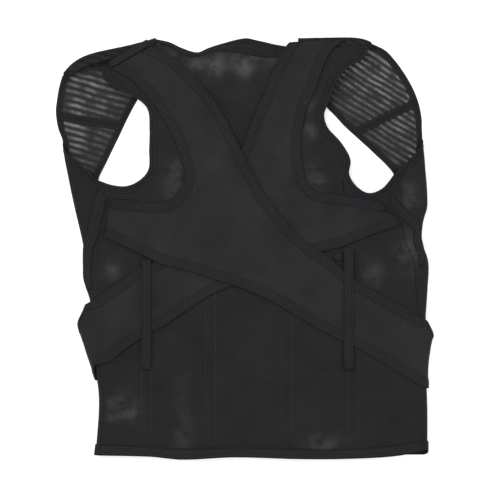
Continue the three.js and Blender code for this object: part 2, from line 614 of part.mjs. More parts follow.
addHarness({
  strap: "under_strap", wing: "right_underarm_wing", neckBinding: "under_strap_neck_binding",
  armBinding: "right_harness_arm_binding", lowerBinding: "under_strap_lower_binding",
}, UNDER, 1);
addHarness({
  strap: "over_strap", wing: "left_underarm_wing", neckBinding: "over_strap_neck_binding",
  armBinding: "left_harness_arm_binding", lowerBinding: "over_strap_lower_binding",
}, OVER, 2);

// Back panel: a sheet with both armholes left open, the side columns ending at the underarm
const BACK_COLUMNS = MIDDLE_COLUMNS + 2 * SIDE_COLUMNS;

const bodyEdge = (side, y) => foldStart(side, y) - side * (seamInward(y) + GAP / 2);
const armholes = BODY_SIDES.map((body) => {
  const edge = smoothPath(body.armhole, UPPER_ROWS + SIDE_COLUMNS);
  const cloth = insetPath(edge, -body.side * (ARMHOLE_BINDING_WIDTH + GAP));
  const corner = cloth[cloth.length - 1];
  const beside = cloth[cloth.length - 2];
  const reach = (bodyEdge(body.side, corner.y) - beside.x) / (corner.x - beside.x);
  cloth[cloth.length - 1] = beside.clone().lerp(corner, Math.min(reach, 1));
  return {
    ...body,
    edge,
    inner: insetPath(edge, -body.side * ARMHOLE_BINDING_WIDTH),
    upper: cloth.slice(0, UPPER_ROWS + 1),
    shelf: cloth.slice(UPPER_ROWS),
  };
});
const [leftSide, rightSide] = armholes;

const shelfRow = [
  ...leftSide.shelf.slice(1).reverse(),
  ...Array.from({ length: MIDDLE_COLUMNS + 1 }, (_, step) => {
    const share = step / MIDDLE_COLUMNS;
    return leftSide.upper[UPPER_ROWS].clone().lerp(rightSide.upper[UPPER_ROWS], share);
  }),
  ...rightSide.shelf.slice(1),
];

function backSpot(row, column) {
  if (row >= NEAR_ROWS) {
    const step = UPPER_ROWS - (row - NEAR_ROWS);
    const share = THREE.MathUtils.clamp((column - SIDE_COLUMNS) / MIDDLE_COLUMNS, 0, 1);
    if (row > NEAR_ROWS || (column >= SIDE_COLUMNS && column <= BACK_COLUMNS - SIDE_COLUMNS)) {
      const point = leftSide.upper[step].clone().lerp(rightSide.upper[step], share);
      const first = leftSide.upper[0].clone().lerp(rightSide.upper[0], share);
      const isEdge = share === 0 || share === 1;
      const rise = isEdge ? 0 : shares.top(first.x / HALF_WIDTH) * LENGTH - first.y;
      return nearSpot(point.x, point.y + rise * (1 - step / UPPER_ROWS) ** 2);
    }
  }
  const shelf = shelfRow[column];
  const width = (y) => bodyEdge(1, y) - bodyEdge(-1, y);
  const share = row / NEAR_ROWS;
  const shelfShare = (shelf.x - bodyEdge(-1, shelf.y)) / width(shelf.y);
  const topShare = THREE.MathUtils.clamp(shelfShare, 0, 1);
  const across = THREE.MathUtils.lerp(column / BACK_COLUMNS, topShare, share);
  const bottomX = bodyEdge(-1, 0) + width(0) * across;
  const bottom = hemSeamHeight(bottomX);
  const y = THREE.MathUtils.lerp(bottom, shelf.y, share);
  return nearSpot(bodyEdge(-1, y) + width(y) * across, y);
}

function hemSeamHeight(x) {
  return (shares.hemLow(x / HALF_WIDTH) + HEM_INSET) * LENGTH;
}

function addBackPanel() {
  const rows = NEAR_ROWS + UPPER_ROWS;
  const isUpper = (column) => column >= SIDE_COLUMNS && column < BACK_COLUMNS - SIDE_COLUMNS;
  const holds = (row, column) => row < NEAR_ROWS || isUpper(column);
  const pointAt = (row, column, face) => seat(backSpot(row, column), (face - 1) * WALL);
  add("back_panel", clothShell(rows, BACK_COLUMNS, pointAt, holds), MESH_CLOTH());
}

// Side panels go from the back's side seam round the fold to the front's side seam
function sidePanelTop(body, column) {
  const foldColumn = 1 + ARC_STEPS / 2;
  const share = smooth(column / foldColumn);
  const drop = FAR_TOP_DROP * Math.max(column - foldColumn, 0) / (ARC_STEPS / 2 + FAR_STEPS);
  return THREE.MathUtils.lerp(body.edge[UPPER_ROWS + SIDE_COLUMNS].y, (body.sideTop - drop) * LENGTH, share);
}

// Height of a grid row of the side panel's cloth, which the panels beside it share at their seams
function sidePanelHeight(body, column, row) {
  const seamTop = body.shelf[SIDE_COLUMNS].y;
  const top = column ? sidePanelTop(body, column) - ARMHOLE_BINDING_WIDTH - 2 * GAP : seamTop - 2 * GAP;
  return THREE.MathUtils.lerp(hemSeamHeight(bodyEdge(body.side, 0)), top, row / NEAR_ROWS);
}

function sidePanelSpot(body, column, y) {
  if (column === 0) return nearSpot(foldStart(body.side, y) - body.side * (seamInward(y) - GAP / 2), y);
  const arc = Math.min(column - 1, ARC_STEPS);
  const far = Math.max(column - 1 - ARC_STEPS, 0) / FAR_STEPS;
  return sideSpot(body.side, y, (Math.PI * arc) / ARC_STEPS, far * (FAR_SEAM * HALF_WIDTH - GAP / 2));
}

function addSidePanel(body) {
  const columns = 1 + ARC_STEPS + FAR_STEPS;
  const pointAt = (row, column, face) => {
    const y = sidePanelHeight(body, column, row);
    return seat(sidePanelSpot(body, column, y), (face - 1) * WALL);
  };
  add(`${body.name}_side_panel`, clothShell(NEAR_ROWS, columns, pointAt), MESH_CLOTH());
}

// Armhole bindings run down the back's armhole, under the arm and round the side fold
function addArmholeBinding(body) {
  const first = asSpots(body.edge);
  const second = asSpots(body.inner);
  const columns = 1 + ARC_STEPS;
  for (let column = 1; column <= columns; column += 1) {
    const top = sidePanelTop(body, column);
    first.push(sidePanelSpot(body, column, top));
    second.push(sidePanelSpot(body, column, top - ARMHOLE_BINDING_WIDTH));
  }
  const pointAt = (row, column, face) => seat((column ? second : first)[row], (face - 1) * WALL);
  add(`${body.name}_armhole_binding`, clothShell(first.length - 1, 1, pointAt), TAPE_CLOTH());
}

// Front panels lie on the surface, from side seam to placket, their top edge below the bust opening
function addFrontPanel(body) {
  const bottom = (FRONT_HEM.low + HEM_INSET) * LENGTH;
  const farColumn = 1 + ARC_STEPS + FAR_STEPS;
  const pointAt = (row, column, face) => {
    const aside = column / FRONT_COLUMNS;
    const middleY = THREE.MathUtils.lerp(bottom, shares.frontTop(aside) * LENGTH, row / FRONT_ROWS);
    const y = THREE.MathUtils.lerp(middleY, sidePanelHeight(body, farColumn, row), aside ** 4);
    const middle = Math.abs(foldStart(body.side, y)) - PLACKET_WIDTH / 2 - GAP;
    const inward = THREE.MathUtils.lerp(middle, FAR_SEAM * HALF_WIDTH + GAP / 2, aside);
    return seat(sideSpot(body.side, y, Math.PI, inward), (face - 1) * WALL);
  };
  add(`${body.name}_front_panel`, clothShell(FRONT_ROWS, FRONT_COLUMNS, pointAt), MESH_CLOTH());
}

function addPlacket() {
  const bottom = (FRONT_HEM.low + HEM_INSET) * LENGTH;
  const top = shares.frontTop(0) * LENGTH;
  const pointAt = (row, column, face) => {
    const y = THREE.MathUtils.lerp(bottom, top, row / FRONT_ROWS);
    return new THREE.Vector3((column - 0.5) * PLACKET_WIDTH, y, floorLift(y) + face * PLACKET_THICKNESS);
  };
  add("front_placket", clothShell(FRONT_ROWS, 1, pointAt), TAPE_CLOTH());
}

// Hem band: a ring round the open lower end, laid outside the panels
function addHemBand() {
  const near = 16;
  const far = 8;
  const spots = [];
  const edge = (side) => foldStart(side, 0);
  for (let step = 0; step <= near; step += 1) {
    const x = THREE.MathUtils.lerp(edge(-1), edge(1), step / near);
    const low = shares.hemLow(x / HALF_WIDTH);
    spots.push({ high: shares.hemHigh(x / HALF_WIDTH), low, at: (y) => nearSpot(x, y) });
  }
  const round = (side, steps) => {
    const x = foldLine(side, 0) / HALF_WIDTH;
    for (const step of steps) {
      const share = smooth(step / ARC_STEPS);
      const low = THREE.MathUtils.lerp(shares.hemLow(x), FRONT_HEM.low, share);
      const high = THREE.MathUtils.lerp(shares.hemHigh(x), FRONT_HEM.high, share);
      spots.push({ high, low, at: (y) => sideSpot(side, y, (Math.PI * step) / ARC_STEPS) });
    }
  };
  const arcSteps = Array.from({ length: ARC_STEPS }, (_, index) => index + 1);
  round(1, arcSteps);
  for (let step = 1; step < far; step += 1) {
    const x = THREE.MathUtils.lerp(edge(1), edge(-1), step / far);
    const side = x > 0 ? 1 : -1;
    const at = (y) => sideSpot(side, y, Math.PI, side * (foldStart(side, y) - x));
    spots.push({ high: FRONT_HEM.high, low: FRONT_HEM.low, at });
  }
  round(-1, arcSteps.toReversed());
  const pointAt = (row, column, face) => {
    const spot = spots[column];
    const y = (row ? spot.high : spot.low) * LENGTH;
    return seat(spot.at(y), 1.5 * GAP + face * HEM_BAND_THICKNESS);
  };
  add("hem_band", clothShell(1, spots.length, pointAt, () => true, true), TAPE_CLOTH());
}

function addNeckBand() {
  const steps = 14;
  const first = [];
  const second = [];
  for (let step = 0; step <= steps; step += 1) {
    const [start, end] = [NECK_BAND[0], NECK_BAND[NECK_BAND.length - 1]];
    const across = THREE.MathUtils.lerp(start.across, end.across, step / steps);
    first.push(nearSpot(across * HALF_WIDTH, shares.neckHigh(across) * LENGTH));
    second.push(nearSpot(across * HALF_WIDTH, shares.neckLow(across) * LENGTH));
  }
  addLayer("neck_band", first, second, 1, 1, NECK_BAND_THICKNESS, TAPE_CLOTH());
}

// Front straps: flat on the surface, then over the shoulder fold to the back's top edge
function strapSection(strap, index) {
  const last = strap.rows.length - 1;
  const lift = WALL + GAP;
  if (index <= last) {
    const at = Math.floor(Math.min(index, last - 1));
    const share = index - at;
    const [a, b] = [strap.rows[at], strap.rows[at + 1]];
    const inner = place(a.inner).lerp(place(b.inner), share);
    const outer = place(a.outer).lerp(place(b.outer), share);
    const inside = THREE.MathUtils.lerp(a.inside, b.inside, share);
    return { inner, outer, base: inside * lift, turn: 0 };
  }
  const inner = place(strap.foldInner);
  const outer = place(strap.foldOuter);
  const along = inner.clone().sub(outer).normalize();
  const away = new THREE.Vector2(-along.y, along.x);
  if (away.y < 0) away.negate();
  inner.addScaledVector(away, -SIDE_FOLD_RADIUS);
  outer.addScaledVector(away, -SIDE_FOLD_RADIUS);
  return { inner, outer, away, base: 0, turn: (Math.PI * (index - last - 1)) / ARC_STEPS };
}

// A point of a front strap: share across from the inner edge, height over its floor-side face
function strapPoint(section, share, height) {
  const plan = section.inner.clone().lerp(section.outer, share);
  const reach = SIDE_FOLD_RADIUS - height;
  if (section.away) plan.addScaledVector(section.away, reach * Math.sin(section.turn));
  const z = section.base + SIDE_FOLD_RADIUS - reach * Math.cos(section.turn);
  return new THREE.Vector3(plan.x, plan.y, z);
}

function addFrontStrap(name, strap) {
  const length = strap.rows.length + ARC_STEPS + 1;
  const sections = Array.from({ length }, (_, index) => strapSection(strap, index));
  const width = (section) => section.inner.distanceTo(section.outer);
  const edge = FRONT_BINDING_WIDTH;
  const pieces = [
    { part: "", steps: 4, material: MESH_CLOTH(), from: () => edge + GAP, to: (at) => width(at) - edge - GAP },
    { part: "_inner_binding", steps: 1, material: TAPE_CLOTH(), from: () => 0, to: () => edge },
    { part: "_outer_binding", steps: 1, material: TAPE_CLOTH(), from: (at) => width(at) - edge, to: width },
  ];
  for (const piece of pieces) {
    const pointAt = (row, column, face) => {
      const section = sections[row];
      const distance = THREE.MathUtils.lerp(piece.from(section), piece.to(section), column / piece.steps);
      return strapPoint(section, distance / width(section), face * WALL);
    };
    add(`${name}${piece.part}`, clothShell(sections.length - 1, piece.steps, pointAt), piece.material);
  }
  const spacing = strapSection(strap, 7).inner.distanceTo(strapSection(strap, 6).inner);
  const half = CROSS_TAPE_WIDTH / 2 / spacing;
  const tapeAt = (row, column, face) => {
    const section = strapSection(strap, strap.tapeRow + (column ? half : -half));
    const end = edge / 2 / width(section);
    const share = THREE.MathUtils.lerp(end, 1 - end, row / 4);
    return strapPoint(section, share, WALL + GAP + face * CHANNEL_THICKNESS);
  };
  add(`${name}_cross_tape`, clothShell(4, 1, tapeAt), TAPE_CLOTH());
}

// The band over the left shoulder seam runs along the top end of the over strap
function addShoulderBand() {
  const ends = [place(OVER.neck[0]), place(OVER.arm[0])];
  const near = insetPath(ends, -2 * GAP);
  const far = insetPath(ends, -SHOULDER_BAND_WIDTH);
  const [first, second] = [far, near].map((path) => asSpots(resample(path, 4)));
  addLayer("left_shoulder_band", first, second, 1, 1, BINDING_THICKNESS, TAPE_CLOTH());
}

function addSideTape(name, rows) {
  const outer = smoothPath(rows.map((row) => row.outer), 12);
  const inner = smoothPath(rows.map((row) => row.inner), 12);
  addLayer(name, asSpots(outer), asSpots(inner), 1, 1, SIDE_TAPE_THICKNESS, TAPE_CLOTH());
}

// A straight upright strip over the back, centred on a share of the width
function uprightStrip(across, high, low, width, steps) {
  const path = (shift) => Array.from({ length: steps + 1 }, (_, step) => (
    nearSpot(across * HALF_WIDTH + shift * width, THREE.MathUtils.lerp(high, low, step / steps) * LENGTH)
  ));
  return [path(-0.5), path(0.5)];
}

function addStripInside(name, strip, thickness, material) {
  const pointAt = (row, column, face) => seat(strip[column][row], -WALL - GAP - face * thickness);
  add(name, clothShell(strip[0].length - 1, 1, pointAt), material);
}

addBackPanel();
for (const body of armholes) {
  addSidePanel(body);
  addFrontPanel(body);
  addArmholeBinding(body);
}
addPlacket();
addHemBand();
addNeckBand();
addFrontStrap("left_front_strap", LEFT_FRONT_STRAP);
addFrontStrap("right_front_strap", RIGHT_FRONT_STRAP);
addShoulderBand();
addSideTape("left_side_tape", LEFT_TAPE);
addSideTape("right_side_tape", RIGHT_TAPE);
for (const casing of CASINGS) {
  const [first, second] = uprightStrip(casing.across, casing.high, casing.low, CASING_WIDTH, 12);
  addLayer(casing.name, first, second, 1, casing.level, CASING_THICKNESS, TAPE_CLOTH());
}
for (const channel of CHANNELS) {
  const strip = uprightStrip(channel.across, CHANNEL_HIGH, CHANNEL_LOW, CHANNEL_WIDTH, 10);
  addStripInside(channel.name, strip, CHANNEL_THICKNESS, TAPE_CLOTH());
}
const labelHigh = LABEL_PLACE.up + LABEL_LENGTH / LENGTH / 2;
const labelLow = LABEL_PLACE.up - LABEL_LENGTH / LENGTH / 2;
const labelStrip = uprightStrip(LABEL_PLACE.across, labelHigh, labelLow, LABEL_WIDTH, 2);
addStripInside("care_label", labelStrip, LABEL_THICKNESS, LABEL_CLOTH());

vest.updateMatrixWorld(true);
const box = new THREE.Box3().setFromObject(vest);
vest.position.set(-(box.min.x + box.max.x) / 2, -(box.min.y + box.max.y) / 2, -box.min.z);

export default vest;
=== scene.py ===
"""Posture corrector vest, lying back up on a pale floor.

The cloth, straps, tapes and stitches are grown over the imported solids. Lengths in the tables are shares
of the vest's half width and length, and the sizes are in millimetres. Every surface is a numpy grid.
"""

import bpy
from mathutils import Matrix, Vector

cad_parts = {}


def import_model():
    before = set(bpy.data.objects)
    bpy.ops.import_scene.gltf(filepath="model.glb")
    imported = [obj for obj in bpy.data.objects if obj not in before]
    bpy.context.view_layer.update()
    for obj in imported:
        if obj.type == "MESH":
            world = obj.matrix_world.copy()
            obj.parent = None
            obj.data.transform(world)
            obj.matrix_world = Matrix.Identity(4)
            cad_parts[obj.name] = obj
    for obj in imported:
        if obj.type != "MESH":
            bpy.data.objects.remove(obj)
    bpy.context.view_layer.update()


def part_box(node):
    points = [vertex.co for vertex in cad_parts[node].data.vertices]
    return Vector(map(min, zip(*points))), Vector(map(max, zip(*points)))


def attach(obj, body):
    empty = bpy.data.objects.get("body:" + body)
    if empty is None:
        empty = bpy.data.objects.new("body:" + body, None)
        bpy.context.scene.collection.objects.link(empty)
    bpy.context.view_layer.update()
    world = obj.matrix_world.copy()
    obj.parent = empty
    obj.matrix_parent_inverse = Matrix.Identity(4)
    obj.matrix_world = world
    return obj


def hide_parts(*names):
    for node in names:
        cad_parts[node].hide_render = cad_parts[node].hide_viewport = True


bl_info = {
    "name": "Posture corrector vest",
    "version": (1, 0, 0),
    "blender": (4, 5, 0),
    "location": "View3D > Sidebar > Vest",
    "description": "Builds the cloth, tapes and stitches of a posture corrector vest over its packed solids",
    "category": "Object",
}

import bpy
import numpy as np
from bpy.props import FloatProperty, FloatVectorProperty, IntProperty, PointerProperty
from mathutils import Vector

# Sizes in millimetres
HALF_WIDTH = 217.5
LENGTH = 484.0
SIDE_FOLD_RADIUS = 5.5
CROWN = 15.0
SHOULDER_BAND_WIDTH = 9.0
WALL = 1.3
STRAP_THICKNESS = 1.8
BINDING_THICKNESS = 2.2
BINDING_WIDTH = 12.0
ARMHOLE_BINDING_WIDTH = 9.0
FRONT_BINDING_WIDTH = 8.0
CASING_THICKNESS = 1.4
CASING_WIDTH = 10.5
CHANNEL_THICKNESS = 1.0
CHANNEL_WIDTH = 12.0
LABEL_THICKNESS = 0.8
LABEL_WIDTH = 34.0
LABEL_LENGTH = 30.0
NECK_BAND_THICKNESS = 1.2
HEM_BAND_THICKNESS = 0.9
SIDE_TAPE_THICKNESS = 1.2
PLACKET_WIDTH = 28.0
PLACKET_THICKNESS = 2.0
CROSS_TAPE_WIDTH = 11.0
GAP = 0.35
STACK = BINDING_THICKNESS + GAP

# A layer lifts the one above it, and outside it this lift holds for the margin and then falls to nothing
COVER_MARGIN = 10.0
COVER_FALL = 45.0

# The hem band lifts the cloth over it, up to this share of the length, and the cloth begins above its edge
HEM_LIFT = HEM_BAND_THICKNESS + 1.5 * GAP
HEM_LIFT_SHARE = 0.15
HEM_INSET = 0.006

# In half widths: the straps' tails below the front, and the side's seam there
TAIL_SHARE = 0.62
FAR_SEAM = 0.07

# In lengths: the armhole edge's drop from the fold to the front's seam, and the ends of the bone channels
FAR_TOP_DROP = 0.05
CHANNEL_HIGH = 0.45
CHANNEL_LOW = 0.04

# The front strap's end runs this far back under the back panel, and sinks this deep
RETURN = 6.0
RETURN_SINK = 1.6

# The harness cloth runs this far under its edge tapes, so that no gap shows
UNDER_TAPE = 2.0

# Columns round a side: where the fold begins, stands out most and ends, and the seam with the front
FOLD_BEGINS = 1.0
FOLD_OUTERMOST = 4.0
FOLD_ENDS = 7.0
SEAM_COLUMN = 9.0

# The shoulder folds' outer corner: share of the reach that it loses, and the power that keeps the rest
CORNER_CUT = 0.8
CORNER_POWER = 10

# Height of the ribs of the front straps
RIB_HEIGHT = 0.25

# Share of the armhole edge's rise that it has before the fold
NEAR_RISE = 0.72

# Points of a harness path, and of the seam between the strap and the wing
PATH_STEPS = 120
SEAM_STEPS = 40

# Share of a harness tail, after its path's end, where the bridge from the path to the fold takes over
BRIDGE_SHARE = 0.09

# Share of the stitch pitch that a straight stitch covers
STITCH_FILL = 0.62

# How much of the pale label shows through the mesh
LABEL_SHOW = 0.32

# A flat cut's least side in metres, and the share of its rectangle below which it counts as mostly empty
LEAST_CUT = 0.012
EMPTY_CUT = 0.35

# The camera's height and the width that it sees, in metres, and the middle of its view in the pattern
CAMERA_HEIGHT = 3.0
VIEW_WIDTH = 0.575
VIEW_CENTRE = (5.75, 239.2, 0.0)

# Folded sides: (up, across)
LEFT_FOLD = (
    (-0.01, -0.796), (0.04, -0.783), (0.138, -0.77), (0.209, -0.788), (0.268, -0.815), (0.32, -0.823),
    (0.368, -0.815), (0.43, -0.855), (0.49, -0.85), (0.535, -0.868), (0.582, -0.893), (0.66, -0.93),
    (0.74, -0.96), (1.0, -0.97),
)
RIGHT_FOLD = (
    (-0.01, 0.962), (0.11, 0.962), (0.209, 0.955), (0.32, 0.952), (0.4, 0.963), (0.466, 0.968),
    (0.515, 0.935), (0.56, 0.94), (0.6, 0.963), (0.7, 0.95), (0.77, 0.937), (1.0, 0.93),
)

# How far the straps stand out at the sides: (up, share of the fold radius)
LEFT_BULGE = (
    (0.185, 0.0), (0.209, 0.364), (0.237, 0.691), (0.268, 1.0), (0.304, 1.727), (0.323, 2.0), (0.35, 1.636),
)
RIGHT_BULGE = (
    (0.16, 0.036), (0.209, 0.109), (0.237, 0.364), (0.268, 0.836), (0.292, 1.273), (0.31, 0.818),
    (0.33, 0.545),
)

# Hem band: (across, low, high)
HEM = (
    (-0.8, 0.008, 0.034), (-0.5, 0.005, 0.029), (-0.33, -0.002, 0.023), (-0.05, 0.004, 0.027),
    (0.29, 0.0, 0.024), (0.53, 0.0, 0.023), (0.8, 0.007, 0.032), (0.96, 0.022, 0.046),
)
FRONT_HEM_LOW = 0.008
FRONT_HEM_HIGH = 0.034

# The crown's height up the vest, and where the floor side lies on the strap tails: (up, share)
CROWN_ROWS = ((0.0, 0.25), (0.2, 0.8), (0.4, 1.0), (0.6, 0.55), (0.78, 0.2), (1.0, 0.0))
LIFT_ROWS = (
    (0.0, 0.0), (0.035, 0.0), (0.14, 1.0), (0.2, 1.0), (0.28, 1.0), (0.34, 1.0), (0.48, 0.0), (1.0, 0.0),
)

# Soft folds: (across, up, reach across, reach up, height in crowns)
FOLDS = (
    (-0.33, 0.01, 0.17, 0.12, -0.147), (0.25, 0.0, 0.2, 0.1, 0.107), (0.47, 0.12, 0.13, 0.12, -0.133),
    (0.74, 0.05, 0.15, 0.15, 0.12), (0.0, 0.99, 0.2, 0.12, -0.2), (0.7, 0.45, 0.16, 0.08, 0.067),
)

# The back's top edge and the armholes: (across, up)
TOP_EDGE = (
    (-0.746, 0.926), (-0.62, 0.949), (-0.5, 0.973), (-0.463, 0.98), (-0.42, 0.984), (-0.35, 0.971),
    (-0.25, 0.961), (-0.12, 0.982), (0.0, 0.994), (0.12, 0.984), (0.233, 0.976), (0.31, 0.976),
    (0.45, 0.976), (0.65, 0.977),
)
LEFT_ARMHOLE = (
    (-0.746, 0.931), (-0.751, 0.903), (-0.661, 0.872), (-0.561, 0.85), (-0.513, 0.827), (-0.503, 0.779),
    (-0.505, 0.732), (-0.508, 0.686), (-0.545, 0.663), (-0.619, 0.646), (-0.698, 0.648), (-0.778, 0.66),
)
RIGHT_ARMHOLE = (
    (0.65, 0.977), (0.64, 0.957), (0.603, 0.941), (0.545, 0.926), (0.481, 0.891), (0.444, 0.846),
    (0.418, 0.815), (0.434, 0.786), (0.508, 0.748), (0.556, 0.708), (0.55, 0.672), (0.598, 0.641),
    (0.656, 0.629), (0.725, 0.641), (0.788, 0.675),
)

# The two crossed harness layers: edges as (across, up)
OVER = {
    "neck": (
        (-0.497, 0.977), (-0.397, 0.955), (-0.307, 0.924), (-0.222, 0.884), (-0.148, 0.841),
        (-0.085, 0.791), (0.026, 0.691), (0.111, 0.622), (0.212, 0.565), (0.307, 0.52), (0.45, 0.473),
        (0.566, 0.428), (0.714, 0.39), (0.873, 0.349), (0.921, 0.335),
    ),
    "arm": (
        (-0.704, 0.923), (-0.608, 0.9), (-0.503, 0.85), (-0.397, 0.779), (-0.344, 0.72), (-0.317, 0.675),
        (-0.333, 0.644), (-0.376, 0.618), (-0.45, 0.606), (-0.556, 0.608), (-0.714, 0.616),
    ),
    "lower": (
        (-0.751, 0.525), (-0.582, 0.492), (-0.439, 0.461), (-0.291, 0.444), (-0.148, 0.423),
        (-0.026, 0.406), (0.132, 0.375), (0.291, 0.333), (0.45, 0.292), (0.582, 0.264), (0.714, 0.23),
        (0.82, 0.202), (0.921, 0.173),
    ),
    "seam": ((-0.233, 0.596), (-0.153, 0.561), (-0.069, 0.52), (0.026, 0.449)),
    "arm_share": 0.57, "lower_share": 0.5, "side": 1, "front_high": 0.309, "front_low": 0.166, "level": 2,
}
UNDER = {
    "neck": (
        (0.233, 0.986), (0.19, 0.962), (0.164, 0.936), (0.132, 0.903), (0.09, 0.855), (0.048, 0.815),
        (-0.021, 0.734), (-0.101, 0.66), (-0.196, 0.589), (-0.312, 0.523), (-0.45, 0.473),
        (-0.556, 0.454), (-0.661, 0.42), (-0.767, 0.387), (-0.794, 0.375),
    ),
    "arm": (
        (0.529, 0.993), (0.46, 0.967), (0.418, 0.933), (0.37, 0.874), (0.323, 0.824), (0.296, 0.755),
        (0.302, 0.696), (0.333, 0.651), (0.386, 0.632), (0.503, 0.625), (0.64, 0.614), (0.741, 0.606),
    ),
    "lower": (
        (0.815, 0.551), (0.714, 0.537), (0.608, 0.52), (0.503, 0.501), (0.397, 0.489), (0.238, 0.463),
        (0.053, 0.43), (-0.169, 0.39), (-0.291, 0.356), (-0.397, 0.323), (-0.503, 0.295),
        (-0.608, 0.266), (-0.714, 0.228),
    ),
    "seam": ((0.212, 0.615), (0.143, 0.575), (0.069, 0.523), (-0.005, 0.468)),
    "arm_share": 0.63, "lower_share": 0.47, "side": -1, "front_high": 0.318, "front_low": 0.185, "level": 1,
}

# Front straps: (inner across, inner up, outer across, outer up). The first rows lie inside the body, the fold
# is the shoulder's, bow is its bulge in millimetres, and tape_row is the row number of the cross tape
LEFT_FRONT_STRAP = {
    "rows": (
        (-0.735, 0.523, -0.835, 0.523), (-0.762, 0.577, -0.868, 0.585), (-0.775, 0.637, -0.9, 0.651),
        (-0.772, 0.665, -0.926, 0.696), (-0.741, 0.694, -0.96, 0.736), (-0.709, 0.724, -0.966, 0.757),
        (-0.672, 0.758, -0.988, 0.784), (-0.63, 0.798, -1.0, 0.822), (-0.593, 0.831, -0.992, 0.857),
        (-0.55, 0.867, -0.981, 0.884), (-0.508, 0.917, -0.966, 0.907),
    ),
    "inside_rows": 5,
    "fold": ((-0.471, 0.998), (-0.966, 0.922)),
    "bow": 6.5,
    "tape_row": 6.75,
}
RIGHT_FRONT_STRAP = {
    "rows": (
        (0.735, 0.523, 0.894, 0.527), (0.757, 0.584, 0.9, 0.584), (0.778, 0.637, 0.905, 0.637),
        (0.788, 0.67, 0.922, 0.696), (0.746, 0.696, 0.936, 0.75), (0.698, 0.717, 0.935, 0.785),
        (0.646, 0.739, 0.934, 0.806), (0.582, 0.765, 0.921, 0.838), (0.524, 0.789, 0.894, 0.872),
        (0.471, 0.815, 0.852, 0.907), (0.423, 0.838, 0.799, 0.941), (0.365, 0.879, 0.746, 0.967),
        (0.323, 0.922, 0.693, 0.98),
    ),
    "inside_rows": 5,
    "fold": ((0.28, 0.997), (0.668, 0.996)),
    "bow": 1.0,
    "tape_row": 7.25,
}

# Side tapes: (outer across, outer up, inner across, inner up)
LEFT_TAPE = (
    (-0.772, 0.637, -0.73, 0.618), (-0.804, 0.601, -0.743, 0.587), (-0.831, 0.542, -0.772, 0.527),
    (-0.85, 0.513, -0.794, 0.504), (-0.855, 0.466, -0.81, 0.466), (-0.85, 0.43, -0.81, 0.43),
    (-0.835, 0.4, -0.805, 0.4),
)
RIGHT_TAPE = (
    (0.772, 0.629, 0.765, 0.598), (0.82, 0.606, 0.797, 0.58), (0.868, 0.584, 0.84, 0.56),
    (0.92, 0.561, 0.882, 0.542), (0.931, 0.523, 0.889, 0.508), (0.945, 0.494, 0.915, 0.48),
    (0.945, 0.461, 0.921, 0.451),
)

# Neck band: (across, high, low)
NECK_BAND = (
    (-0.466, 0.993, 0.982), (-0.397, 0.986, 0.977), (-0.33, 0.972, 0.957), (-0.25, 0.962, 0.952),
    (-0.196, 0.972, 0.96), (-0.122, 0.983, 0.965), (0.0, 0.996, 0.959), (0.063, 0.991, 0.953),
    (0.122, 0.985, 0.95), (0.165, 0.98, 0.95),
)

# Casings: (name, across, high, low, layer), and channels: (name, across)
CASINGS = (
    ("left_bone_casing", -0.518, 0.472, 0.212, 2), ("right_bone_casing", 0.545, 0.498, 0.212, 3),
    ("right_casing_end", 0.49, 0.488, 0.468, 1),
)
CHANNELS = (
    ("bone_channel_1", -0.518), ("bone_channel_2", -0.18), ("bone_channel_3", 0.22), ("bone_channel_4", 0.57),
)

# The double row of stitches over the left shoulder strap: (lower across, lower up, upper across, upper up)
SHOULDER_ROWS = np.array(((-0.481, 0.892, -0.486, 0.901), (-0.354, 0.914, -0.365, 0.921)))

# Middle of the care label
LABEL_ACROSS = -0.65
LABEL_UP = 0.12

# Top edge of the front, from the placket to the side: (share of the way, up)
FRONT_TOP = ((0.0, 0.38), (0.3, 0.385), (0.62, 0.41), (0.85, 0.47), (1.0, 0.6))

# Distance of the back's side seam from the fold: (up, across)
SIDE_SEAM = ((0.0, 0.0), (0.3, 0.0), (0.4, 0.037), (0.5, 0.06), (0.66, 0.127), (1.0, 0.127))

# Each side's sign, armhole and height of the armhole's edge at the fold
SIDES = {"left": (-1, LEFT_ARMHOLE, 0.745), "right": (1, RIGHT_ARMHOLE, 0.757)}

# Places where the knit is thin and more open, with painted light as if the pale ground showed through:
# (across, up, reach across, reach up, strength)
OPEN_AND_PAINTED_LIGHT_SPOTS = (
    (-0.365, 0.962, 0.04, 0.018, 0.5), (-0.26, 0.935, 0.04, 0.02, 0.5), (-0.16, 0.93, 0.06, 0.03, 0.6),
    (0.0, 0.945, 0.09, 0.025, 0.6), (0.0, 0.92, 0.04, 0.02, 0.5), (0.14, 0.945, 0.04, 0.012, 0.4),
    (0.34, 0.775, 0.035, 0.02, 0.5), (0.37, 0.66, 0.05, 0.035, 0.5), (0.35, 0.835, 0.02, 0.02, 0.4),
    (-0.37, 0.66, 0.05, 0.045, 0.5), (0.86, 0.495, 0.06, 0.05, 0.6), (0.865, 0.615, 0.045, 0.04, 0.7),
    (0.67, 0.44, 0.05, 0.03, 0.5), (-0.7, 0.45, 0.035, 0.025, 0.5), (0.4, 0.035, 0.08, 0.02, 0.6),
    (-0.32, 0.06, 0.05, 0.1, 0.3), (-0.62, 0.12, 0.09, 0.04, 0.25),
)


def smooth(value):
    """Eases shares from 0 to 1, flat at both ends."""
    share = np.clip(value, 0.0, 1.0)
    return share * share * (3.0 - 2.0 * share)


def mix(a, b, share):
    """Goes from a to b by a share."""
    return a + (b - a) * share


